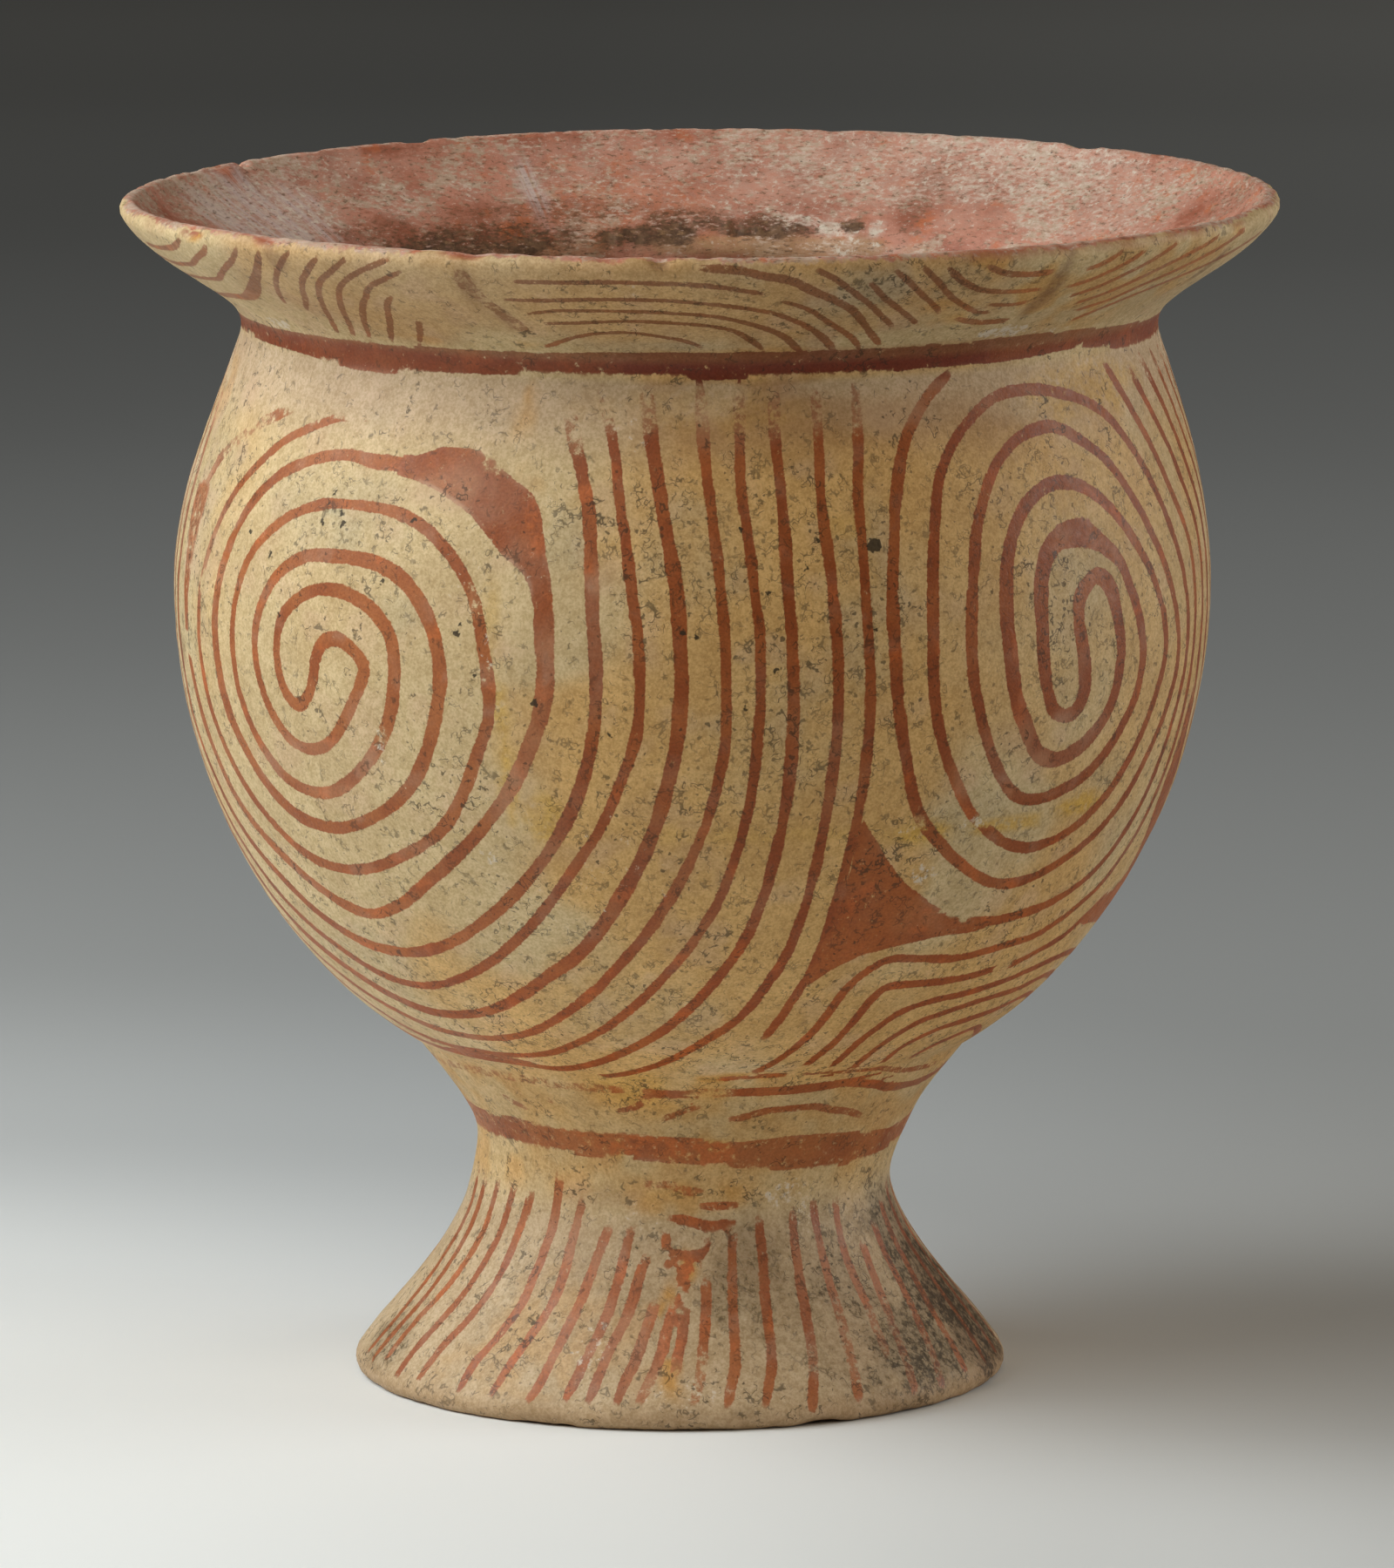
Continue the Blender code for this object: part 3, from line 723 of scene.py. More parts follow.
# Thin lines and loose brush marks about the bottom of the belly: half width, cover, points
BOTTOM_MARKS = (
    (1.5, 1, ((-30, 264.3), (-10.5, 265.2), (7.5, 264.8), (24, 264.8), (50, 264.7), (70, 264.4),
              (84, 264.6), (102, 266.6), (119, 269.3), (150, 270), (190, 268), (240, 265), (300, 263.5),
              (393, 264.3))),
    (1.5, 0.85, ((8, 258.8), (25, 258), (49, 257.6))),
    (1, 0.7, ((49, 257.6), (75, 259), (100, 260.5), (119, 263), (155, 264))),
    (1.2, 0.7, ((-86, 269), (-74, 272.5))),
    (1.1, 0.65, ((-120, 270.5), (-108, 274), (-94, 276))),
    (1, 0.75, ((-46.5, 273.4), (-33, 271.6), (-24, 268.4), (-15, 266.6))),
    (1.1, 0.7, ((-21.3, 277), (-10.5, 273.8), (-0.6, 271.1), (8.4, 269.3))),
    (1.2, 0.8, ((15.6, 275.6), (30, 274.3), (39, 272.4), (57, 272), (70.5, 272.5), (79.5, 274.3),
                (93, 276), (111, 279.7))),
)
# The hurried sign on the front of the foot, and smeared paint on the left shoulder
FOOT_SIGN = (
    (1.2, 0.6, ((-31, 296), (-20, 295.8), (-10, 296), (2.5, 297.5), (15, 298))),
    (1.3, 0.75, ((9, 301.3), (25, 301.6), (39, 301.2))),
    (1.8, 0.45, ((-29, 299.5), (-21, 299.5))),
    (1.5, 0.85, ((-9, 304.3), (2.5, 305), (10, 306), (20, 307), (30, 306.3), (39, 305))),
    (1.9, 0.95, ((-9, 307.6), (-8.5, 310), (-8, 313))),
    (1.9, 1, ((-9, 313), (-2, 314), (4, 314.7), (9, 314.5), (14, 312.5), (19, 309))),
    (1.5, 0.55, ((11, 312.5), (16, 311), (20, 309.5))),
    (1.4, 0.9, ((-10, 318.5), (-6, 316.2), (0, 315.5), (5, 317), (7.5, 320))),
    (2, 0.95, ((0, 316), (2, 319), (1, 324), (-1, 329))),
)
SMEARS = (
    (3, 0.5, ((-190, 72), (-183, 67), (-175, 63))),
    (2.4, 0.55, ((-172, 77), (-162, 71), (-151, 69))),
    (2.6, 0.25, ((-184, 86), (-179, 81), (-173, 80))),
    (1.6, 0.45, ((-70, 58), (-64, 61), (-60, 66))),
    (2.2, 0.62, ((-56, 5), (-54.5, 13), (-51, 22), (-46, 35))),
)
# A stroke whose first fade is no longer than this starts at full width and cover, and one that fades
# over more than LONG_FADE keeps a faint cover to its end
SUDDEN_FADE = 1.0
LONG_FADE = 10.0
STROKE_STEP = 0.6
STROKE_HALF = 1.6
# A stroke's end is narrower by this share over this length, and the hand is this unsteady
END_NARROWING, END_LENGTH = 0.45, 5.0
UNSTEADY = 0.28
# How far the freely drawn lines of the back stray aside and down
STRAY_ASIDE, STRAY_DOWN = 3.4, 2.6
# Where each stroke finds its own tone in the scrambled numbers
TONE_CELL, TONE_SEED = (7, 3), 9
FOOT_LINE_HALF = 1.36
HUMP_HALF = 1.4
# As far off a solid red area as is stored, in millimetres
NO_FILL = 9.0
# The side distance to a stroke repeats after this many millimetres, sooner among the close lines of
# the rim and the foot
SIDE_PERIOD = 8.0
CLOSE_PERIOD = 5.0
RIM_ZONE = 46.0
FOOT_ZONE = 287.5
# Where the painting can no longer be compared with the jar's front, and is drawn more freely
HIDDEN_SIDES = (185.0, 250.0)


def widened(controls, half):
    """The points, each with a half width: its own, or one between those of its neighbours."""
    own = {0: half, len(controls) - 1: half}
    own.update((index, point[2]) for index, point in enumerate(controls) if len(point) == 3)
    knots = sorted(own)
    halves = np.interp(range(len(controls)), knots, [own[knot] for knot in knots])
    return [(point[0], point[1], float(value)) for point, value in zip(controls, halves)]


def wandering(controls):
    """The stroke's points off their first places: by hand's unsteadiness, and freely at the back."""
    line = flow(controls, STROKE_STEP)
    at, _ = place(line[:, 0], line[:, 1])
    free = smooth(np.abs(around(line[:, 0], 0.0)), *HIDDEN_SIDES)
    scale = BELLY_MM / np.maximum(40.0, radius_at(line[:, 1]))
    line[:, 0] += scale * (UNSTEADY * noise(at, 13.0, 41) + free * STRAY_ASIDE * noise(at, 55.0, 42))
    line[:, 1] += UNSTEADY * noise(at, 13.0, 43) + free * STRAY_DOWN * noise(at, 60.0, 44)
    return line


class Brush:
    """Gathers the strokes as close points on the skin, each with its width, cover and tone."""

    def __init__(self):
        self.strokes = []

    def draw(self, controls, half=STROKE_HALF, cover=1.0, tone=0.5, fade=(2.0, 2.0), faint=0.0):
        """One stroke, which fades in and out over these lengths."""
        line = wandering(widened(controls, half))
        at, out = place(line[:, 0], line[:, 1])
        run = np.gradient(at, axis=0)
        run /= np.maximum(np.linalg.norm(run, axis=1), 1e-9)[:, None]
        travelled = lengths(at)
        left = travelled[-1] - travelled
        ends = 1.0
        for away, reach in zip((travelled, left), fade):
            rise = smooth(away, -0.5, reach) if reach > SUDDEN_FADE else 1.0
            if reach > LONG_FADE:
                rise = np.maximum(rise, faint * smooth(away, 0.0, 2.0))
            ends = ends * rise
        lively = 1.0 + 0.12 * noise(at, 6.0, 45) + 0.08 * noise(at, 22.0, 46)
        close = np.minimum(travelled + (END_LENGTH if fade[0] <= SUDDEN_FADE else 0.0), left)
        narrowing = END_NARROWING * (1.0 - smooth(close, 0.0, END_LENGTH))
        halves = line[:, 2] * lively * (1.0 - narrowing)
        cell = [np.array([number]) for number in (len(self.strokes) + 1, *TONE_CELL)]
        own = hashed(*cell, TONE_SEED)[0]
        tones = tone + 0.13 * own + 0.16 * noise(at, 30.0, 47)
        end = np.zeros(len(at))
        end[0], end[-1] = -1.0, 1.0
        self.strokes.append((at, run, out, halves, cover * ends, tones, end))

    def nearest(self, points):
        """For every point the side distance to its nearest stroke, and that stroke's own values."""
        at, run, out, half, cover, tone, end = (np.concatenate(part) for part in zip(*self.strokes))
        tree = KDTree(len(at))
        for index, spot in enumerate(at):
            tree.insert(spot, index)
        tree.balance()
        found = np.array([tree.find(point)[1] for point in points])
        away = points - at[found]
        side = np.einsum("ij,ij->i", away, np.cross(out[found], run[found]))
        along = np.einsum("ij,ij->i", away, run[found])
        past = along * end[found] > 0.0
        far = np.where(past, np.linalg.norm(away, axis=1), np.abs(side))
        return np.where(side < 0.0, -far, far), half[found], cover[found], tone[found]


def wave_far_side(index):
    """The line's stretch on the far side of the round spiral, from the neck down."""
    share = np.linspace(0.0, 1.0, 11)
    picks = []
    for line in (flow(WAVE_NEAREST, 2.0), flow(WAVE_FARTHEST, 2.0)):
        travelled = lengths(line) / lengths(line)[-1]
        picks.append(np.stack([np.interp(share, travelled, line[:, axis]) for axis in (0, 1)], -1))
    blend = index / (len(WAVE) - 1)
    return [tuple(point) for point in (1.0 - blend) * picks[0] + blend * picks[1]]


def shifted(controls, u):
    return [(c[0] + u, *c[1:]) for c in controls]


def draw_wave(brush, turn):
    for index, (line, half) in enumerate(zip(WAVE, WAVE_HALVES)):
        far_side = wave_far_side(index)
        if index < JOINED_WAVE_LINES:
            whole = list(line) + far_side[::-1]
            brush.draw(shifted(whole, turn), half, tone=0.45, fade=(20.0, 14.0), faint=0.55)
        else:
            brush.draw(shifted(line, turn), half, tone=0.45, fade=(20.0, 6.0), faint=0.55)
        if index == JOINED_WAVE_LINES:
            brush.draw(shifted(far_side, turn), half, tone=0.45, fade=(14.0, 5.0))


def paint_strokes():
    """The whole painting but its solid red, drawn twice over round the jar, and the foot's lines."""
    brush = Brush()
    for turn in (0.0, HALF_ROUND_MM):
        for arm in ROUND_SPIRAL:
            brush.draw(shifted(arm, turn), tone=0.62, fade=(1.0, 6.0))
        for arm in TALL_SPIRAL:
            brush.draw(shifted(arm, turn), tone=0.42, fade=(1.0, 3.0))
        draw_wave(brush, turn)
        for line in HUMPS:
            brush.draw(shifted(line, turn), HUMP_HALF, tone=0.55, fade=(3.0, 4.0))
        for half, cover, line in BOTTOM_MARKS:
            brush.draw(shifted(line, turn), half, cover, fade=(4.0, 4.0))
        for half, tone, lines in RIM_LINES:
            for line in lines:
                brush.draw(shifted(line, turn), half, 0.9, tone, (3.0, 3.0))
    for line in FOOT_LINES:
        brush.draw(line, FOOT_LINE_HALF, 0.92, 0.6, (7.0, 3.0))
    start, end = FOOT_LINES[-1][0][0] + FOOT_LINE_GAP, FOOT_LINES[0][0][0] + ROUND_MM
    for index in range(int((end - start) / FOOT_LINE_GAP)):
        line = shifted(FOOT_LINE_PATH, start + FOOT_LINE_GAP * index)
        brush.draw(line, FOOT_LINE_HALF, 0.9, 0.6, (7.0, 3.0))
    for half, cover, line in FOOT_SIGN + SMEARS:
        brush.draw(line, half, cover, 0.45)
    return brush


def inside_shape(u, down, corners):
    """How far each point of the chart lies outside the shape, in millimetres, below zero within it."""
    shape = np.array(corners, float)
    shape = flow(np.vstack([shape, shape[:1]]), 2.5)
    span = radius_at(down) / BELLY_MM
    x = around(u, shape[:, 0].mean()) + shape[:, 0].mean()
    best = np.full(len(u), 1e9)
    within = np.zeros(len(u), bool)
    for (ax, ay), (bx, by) in zip(shape, shape[1:]):
        dx, dy = (bx - ax) * span, by - ay
        px, py = (x - ax) * span, down - ay
        t = np.clip((px * dx + py * dy) / (dx * dx + dy * dy + 1e-9), 0.0, 1.0)
        best = np.minimum(best, np.hypot(px - t * dx, py - t * dy))
        if ay != by:
            crosses = ((ay > down) != (by > down)) & (x < (bx - ax) * (down - ay) / (by - ay) + ax)
            within ^= crosses
    return np.where(within, -best, best)


def band_edge(u, down, points, band):
    """How far each point lies above or below the band, below zero within it."""
    first, last = np.array(band[:1], float), np.array(band[-1:], float)
    once_round = np.array([ROUND_MM, 0.0, 0.0])
    knots, upper, lower = np.vstack([last - once_round, np.array(band, float), first + once_round]).T
    x = (u - band[0][0]) % ROUND_MM + band[0][0]
    top = np.interp(x, knots, upper) + 0.35 * noise(points, 9.0, 51)
    bottom = np.interp(x, knots, lower) + 0.5 * raised(points, (17.0, 17.0, 60.0), 52) - 0.1
    return np.maximum(top - down, down - bottom)


def fill_edge(u, down, points):
    """How far each point lies outside all solid red areas, in millimetres."""
    edge = np.minimum(band_edge(u, down, points, NECK_BAND), band_edge(u, down, points, FOOT_BAND))
    ragged = 0.45 * noise(points, 5.0, 53)
    for turn in (0.0, HALF_ROUND_MM):
        for corners in WEDGES:
            edge = np.minimum(edge, inside_shape(u, down, shifted(corners, turn)) + ragged)
    return np.clip(edge, -NO_FILL, NO_FILL)


# What age left, as patches: paint worn thin, stains, pale lime, yellow, soot, orange, and thin haze.
# Some are painted light and shade instead: the stains round the right of the foot in part, the pale and
# the haze low inside at the back left, and the soot low inside round the neck's inner corner
WORN = (
    (-120, 60, 40, 7, 1), (-75, 61, 40, 7, 0.9), (-92, 64, 14, 4, 0.55), (-50, 73.5, 10, 3, 0.35),
    (-48, 98, 4, 4, 0.2), (-158, 76, 14, 9, 0.5), (-84.5, 144.5, 3.4, 3.6, 0.45), (-56, 106, 4, 9, 0.3),
    (-53, 126, 2.5, 7, 0.2), (-24, 56, 12, 5, 0.2), (95, 60, 38, 7, 0.15), (-152, 70, 16, 7, 0.5),
    (-177, 102, 9, 14, 0.25), (-186, 66, 14, 13, 0.7), (-120, 264, 90, 6, 0.5), (105, 345, 50, 16, 0.3),
    (8, 265, 13, 3, 0.5), (-161, 113, 3, 4, 0.9), (-176, 131.5, 5, 3, 0.9), (116, 216, 5, 3, 0.8),
    (5, 350, 24, 9, 0.35), (-22, 262, 9, 4, 0.3), (84, 167, 5, 3, 0.7), (62, 166, 4, 3, 0.5),
    (330, 150, 22, 34, 0.5), (300, 60, 60, 9, 0.8), (-300, 60, 60, 8, 0.7), (-330, 196, 26, 18, 0.55),
    (240, 215, 24, 20, 0.45), (400, 110, 20, 26, 0.4), (-250, 120, 18, 28, 0.45), (420, 58, 50, 6, 0.8),
    (300, 18, 30, 12, 0.4), (-260, 24, 34, 14, 0.45), (360, 340, 50, 14, 0.4),
    (-250, 335, 40, 14, 0.35),
)
# Those round the right of the foot, from u 98 to 240, are partly real stains and partly painted shade
# where the foot turns from the light
STAINED_AND_SHADED = (
    (126, 348, 42, 17, 0.95), (156, 325, 22, 26, 0.95), (98, 324, 26, 18, 0.6), (66, 330, 18, 14, 0.36),
    (24, 326, 15, 14, 0.55), (46, 320, 20, 18, 0.45), (184, 340, 38, 28, 1.3), (240, 350, 30, 12, 0.5),
    (98, 330, 46, 40, 0.3), (170, 312, 40, 20, 0.8), (-188, 105, 40, 60, 0.45), (-106, 88, 30, 12, 0.3),
    (-98, 95, 9, 7, 0.5), (-104, 88, 3, 3, 0.9), (40, 14, 10, 12, 0.6), (62, 12, 8, 10, 0.6),
    (30, 24, 9, 10, 0.35), (-100, 84, 10, 5, 0.35), (-78, 112, 9, 8, 0.4), (-60, 60, 7, 5, 0.45),
    (-96, 62, 8, 4, 0.35), (0, 92, 16, 16, 0.34), (44, 108, 12, 26, 0.34), (20, 140, 22, 22, 0.3),
    (-34, 92, 8, 10, 0.5), (112, 120, 20, 34, 0.35), (-20, 225, 30, 20, 0.3), (90, 165, 34, 8, 0.35),
    (-120, 215, 34, 14, 0.3), (130, 158, 14, 6, 0.45), (-14, 40, 30, 3, 0.5), (4, 10, 12, 8, 0.3),
    (-60, 330, 60, 20, 0.22), (-170, 352, 24, 10, 0.6), (50, 330, 34, 18, 0.25),
    (340, 120, 50, 60, 0.35), (-300, 160, 50, 60, 0.35), (-360, 340, 60, 16, 0.55),
    (330, 300, 40, 16, 0.4), (260, 90, 30, 40, 0.35), (-220, 220, 40, 24, 0.35),
    (400, 210, 50, 26, 0.4), (330, 20, 40, 12, 0.4),
)
# The pale patches low inside at the back left, from about u -330 to -260, are painted light on the inner
# wall turned from the key
PALE = (
    (-58, 100, 8, 11, 0.3), (-43, 99, 6, 7, 0.3), (-54, 122, 3, 12, 0.35), (400, -20, 90, 20, 0.4),
    (366, -14, 60, 16, 0.6), (330, -12, 60, 18, 0.8), (300, -24, 40, 14, 0.6), (393, -36, 9, 2, 1.3),
    (380, -39, 9, 2.4, 1.3), (367, -38, 2.5, 4, 1.4), (-285, -20, 30, 22, 0.8),
    (-262, -14, 12, 12, 0.7), (-330, -22, 12, 10, 0.4), (372, -44, 22, 2.4, 1), (-310, -8, 40, 8, 0.5),
    (300, -12, 40, 12, 0.4), (-400, -10, 40, 8, 0.35), (-57, 176, 3.5, 4, 0.9), (-146, 42, 9, 2.4, 1),
    (88, 38, 10, 3.4, 1), (110, 40, 18, 1.6, 0.6), (-84.5, 147, 4, 6, 0.7), (2, 354, 20, 7, 0.5),
    (-42, 342, 12, 8, 0.6), (66, 299, 18, 4, 0.7), (86, 306, 12, 6, 0.6), (-18, 304, 24, 4, 0.4),
    (-25, 180, 30, 26, 0.25), (40, 62, 12, 8, 0.35), (-18, 63, 9, 8, 0.5), (-16, 12, 2, 3, 0.6),
    (78, 168, 6, 3, 0.8), (60, 167, 5, 2.5, 0.6), (66, 181, 4.2, 5.5, 0.9), (-135, 60, 40, 8, 0.35),
    (300, 190, 30, 24, 0.5), (-310, 100, 30, 26, 0.5), (390, 60, 40, 8, 0.5), (-250, 60, 30, 8, 0.4),
    (-290, 180, 14, 30, 0.5), (322, 80, 6, 50, 0.6), (300, 352, 40, 8, 0.6),
)
YELLOWED = (
    (-48, 154, 3.6, 13, 0.9), (-40, 163, 6, 7, 0.8), (-49, 135, 2.5, 8, 0.7), (-52, 112, 3, 14, 0.35),
    (64, 168.5, 11, 3.6, 0.9), (92, 169, 16, 2.6, 0.8), (119, 167, 12, 3.6, 1), (20, 167, 40, 2.5, 0.3),
    (400, -44.2, 54, 3.8, 1.1), (-368, -45, 30, 3, 0.7), (128, 57, 34, 9, 0.5), (0, 58, 34, 6, 0.25),
    (40, 88, 9, 4, 0.3), (-30, 262, 20, 8, 0.3), (-294, 120, 5, 30, 0.7), (326, 110, 6, 26, 0.7),
    (330, 150, 18, 5, 0.7),
)
# The patches low inside, from down -32 to -53 round the neck's inner corner and under the crumbled
# ledge, are painted shade; those outside are soot
SMOKED_AND_SHADED = (
    (-55, 14, 3.4, 9, 0.45), (-50, 27, 3, 8, 0.4), (90, 18, 3, 17, 0.8), (157.5, 19, 3, 11, 0.8),
    (-9, 2.5, 3, 3, 0.8), (-108, 7, 4, 5, 0.6), (358, -22, 6.5, 22, 0.4), (352, 2, 6, 4, 0.6),
    (-290, 20, 4, 20, 0.7), (330, 22, 4, 18, 0.7), (-420, 20, 4, 12, 0.4), (180, 330, 30, 30, 0.3),
    (172, 353, 28, 12, 0.35), (-55, 300, 30, 3, 0.3), (40, 316, 26, 12, 0.2), (-186, 134, 5, 5, 0.7),
    (-350, -40, 46, 7.5, 0.95), (-408, -41, 22, 4.5, 1.1), (404, -38.5, 24, 4.4, 1.2),
    (375, -37.5, 5, 2.6, 1.5), (-420, -36, 16, 5, 1), (-318, -35, 22, 7, 0.6), (-375, -32, 40, 6, 0.6),
    (0, -53, 500, 6, 0.6), (236, -8, 14, 9, 0.35),
)
FLAMED = (
    (-139, 3.6, 5.5, 1.9, 1), (-55, 1.5, 6, 2.2, 0.8), (-111, 2.5, 3.4, 2.6, 0.8),
    (89, 1.5, 5, 2.6, 0.6), (157, 5, 8, 3, 0.55), (-5, 336, 7, 18, 0.9), (4, 318, 7, 5, 0.8),
    (5, 300, 40, 4.5, 0.5), (-49, 64, 3, 14, 0.6), (-43, 84, 3, 12, 0.4), (52, 121, 3, 3, 0.4),
    (75, 14, 24, 18, 0.6), (120, 20, 44, 20, 0.5), (10, 270, 60, 8, 0.25), (-38, 41, 26, 3, 0.35),
    (-85, 41, 14, 2.5, 0.4), (-190, 66, 12, 10, 0.4), (300, 12, 26, 14, 0.3), (-240, 330, 30, 20, 0.3),
    (-364, -39, 5, 4, 0.7), (-369, -35, 3, 3, 0.6), (352, -36, 4, 6, 0.5), (-400, -28, 30, 12, 0.3),
    (-20, 284, 50, 5, 0.6), (20, 258, 30, 3, 0.6), (-60, 340, 60, 22, 0.3),
)
# The haze patches low inside at the back left, from u -376 to -262, are painted light
VEILED_AND_LIT = (
    (-44, 99, 8, 10, 1), (-46, 122, 5, 18, 0.55), (-50, 150, 7, 20, 0.5), (-60, 80, 20, 10, 0.95),
    (-38, 150, 8, 40, 0.55), (-25, 118, 4, 20, 0.45), (-6, 185, 24, 26, 0.3), (52, 170, 6, 6, 0.4),
    (100, 150, 30, 12, 0.4), (26, 58, 54, 9, 0.85), (35, 150, 12, 24, 0.3), (-70, 56, 40, 5, 0.4),
    (-110, 155, 24, 10, 0.35), (90, 330, 44, 24, 0.2), (-30, 340, 40, 16, 0.4),
    (-60, 310, 30, 14, 0.35), (330, 130, 50, 50, 0.6), (-300, 190, 60, 50, 0.5),
    (-376, -24, 4, 14, 0.9), (-284, -20, 22, 20, 1), (-262, -20, 14, 16, 0.9), (-178, 84, 34, 40, 0.8),
)
# Where the ground is warmer and deeper: partly the clay's own tone, partly the warm light and shade of
# the sides turned from the key, painted in
GOLDEN_AND_WARM_LIGHT = (
    (22, 150, 60, 110, 1), (0, 235, 100, 40, 0.9), (70, 100, 50, 60, 0.7), (20, 20, 74, 24, 0.6),
    (150, 120, 60, 74, 0.6), (130, 220, 80, 50, 0.8), (40, 46, 66, 8, 0.9), (-80, 22, 60, 22, 0.5),
    (-186, 112, 44, 84, 0.25), (46, 62, 52, 14, 0.6), (128, 62, 34, 14, 0.6), (300, 200, 80, 60, 0.8),
    (-330, 120, 60, 70, 0.7),
)
# Pits filled with dark soil: u, down, radius
PITS = (
    (47, 93, 2.2), (-105.5, 84, 0.65), (-107, 86.2, 0.6), (-100, 91.3, 1.05), (-101.4, 89, 0.75),
    (-108, 91.5, 0.8), (-137, 97.5, 0.7), (-126, 101.5, 0.8), (-119.5, 116.5, 0.75), (-77, 88.5, 0.8),
    (-61, 116, 1), (-60.2, 114, 0.6), (-56, 126.5, 0.8), (-84, 104.5, 0.8), (19, 104, 0.75),
    (-2.5, 114, 0.9), (1, 114.6, 0.7), (21, 123.5, 0.8), (13.5, 133, 0.7), (47, 114.5, 0.7),
    (28.5, 98, 0.6), (-40, 132.5, 0.9), (32, 91, 0.7), (12, 88, 0.7), (-21, 140, 0.7),
)


def linear(red, green, blue):
    """A colour given as it looks on a screen, from 0 to 255."""
    return tuple((v / 255.0 / 12.92) if v <= 10.3 else ((v / 255.0 + 0.055) / 1.055) ** 2.4
                 for v in (red, green, blue)) + (1.0,)


# Colours of the clay, its paint, its slip inside and what lies on them
BUFF = linear(208, 185, 143)
BUFF_GOLD = linear(212, 172, 112)
BUFF_ROSY = linear(208, 176, 144)
BUFF_GREY = linear(176, 168, 140)
SHOULDER = linear(202, 178, 150)
UMBER = linear(172, 134, 96)
OCHRE = linear(205, 150, 62)
YELLOW = linear(210, 170, 84)
BONE = linear(214, 202, 184)
FOOT_BUFF = linear(192, 170, 140)
FOOT_CLAY = linear(176, 136, 94)
RED = linear(165, 96, 50)
RED_DEEP = linear(144, 72, 30)
WINE = linear(108, 32, 12)
FLAME = linear(198, 104, 48)
MAUVE = linear(166, 124, 100)
SLIP = linear(191, 134, 112)
SLIP_DEEP = linear(156, 90, 66)
SLIP_PALE = linear(208, 186, 169)
SLIP_BARE = linear(184, 163, 140)
SLIP_VEIL = linear(198, 178, 172)
# The bowl's clay below the slip, darkened as painted shade; the first also darkens scratches in the slip
BOWL_CLAY_AND_SHADE = linear(112, 84, 60)
BOWL_DEEP_SHADE = linear(84, 60, 42)
SOOT = linear(50, 38, 20)
SMOKE = linear(108, 62, 34)
EARTH = linear(88, 72, 42)

# Factors that a colour is multiplied by, and the name of that way to mix
TINT = "MULTIPLY"
CLOUD_DARK, CLOUD_LIGHT = (0.90, 0.88, 0.84, 1.0), (1.05, 1.06, 1.06, 1.0)
GRAIN_DARK, GRAIN_LIGHT = (0.80, 0.75, 0.65, 1.0), (1.07, 1.07, 1.08, 1.0)
PAINT_DARK, PAINT_LIGHT = (0.86, 0.84, 0.82, 1.0), (1.12, 1.1, 1.1, 1.0)
# Painted shade under the flare of the rim
UNDER_RIM_SHADE = (0.88, 0.84, 0.87, 1.0)
# Painted light from the pale floor on the low belly: for the clay, and for the paint
LOW_CLAY_LIGHT = (1.13, 1.13, 1.14, 1.0)
LOW_PAINT_LIGHT = (1.24, 1.18, 1.1, 1.0)
# Paint warmer where the ground is, partly painted warm light
GOLDEN_PAINT_AND_WARM_LIGHT = (0.95, 0.82, 0.60, 1.0)

# Zones down the face, in millimetres: where each begins, is whole, begins to end, and has ended
NECK_ZONE = (40.0, 42.0, 51.0, 53.0)
SHOULDER_ZONE = (49.0, 52.0, 58.0, 76.0)
# The low belly, where the floor's light is painted on
LOW_BELLY_ZONE = (165.0, 235.0, 256.0, 276.0)
FOOT_JOIN_ZONE = (250.0, 266.0, 296.0, 306.0)
FOOT_START = (296.0, 310.0)
RIM_END = (42.0, 46.0)
BOWL_START = (-59.0, -47.0)
LIP_CREST = -0.2
SHOULDER_MIDDLE = 62.0

# Half the softness of a painted edge, and how far the clay's grain shifts it, in millimetres
EDGE_SOFTNESS = 0.18
EDGE_SHIFT, FINE_EDGE_SHIFT = 0.16, 0.12
# Roughness of the clay from place to place, and how much smoother its paint is
CLAY_ROUGHNESS = (0.54, 0.70)
PAINT_SMOOTHNESS = 0.10
CLAY_SPECULAR = 0.32
# Height of the small bumps, in millimetres: the grit's, and the clay's on and off the shoulder
GRIT_BUMP = 0.09
SHOULDER_BUMP, CLAY_BUMP = 0.05, 0.13

# Rootlet marks, by size: grain, place in the noise, width, and how rare they are
FINE_ROOTS = (1.7, 900.0, 0.020, 0.585)
ROOTS = (4.6, 300.0, 0.026, 0.535)
LONG_ROOTS = (9.0, 600.0, 0.016, 0.565)


class Signal:
    """What a node gives out, with arithmetic that makes further nodes."""

    def __init__(self, graph, socket):
        self.graph, self.socket = graph, socket

    def __add__(self, other):
        return self.graph.math("ADD", self, other)

    def __sub__(self, other):
        return self.graph.math("SUBTRACT", self, other)

    def __rsub__(self, other):
        return self.graph.math("SUBTRACT", other, self)

    def __mul__(self, other):
        return self.graph.math("MULTIPLY", self, other)

    def __truediv__(self, other):
        return self.graph.math("DIVIDE", self, other)

    def __abs__(self):
        return self.graph.math("ABSOLUTE", self)


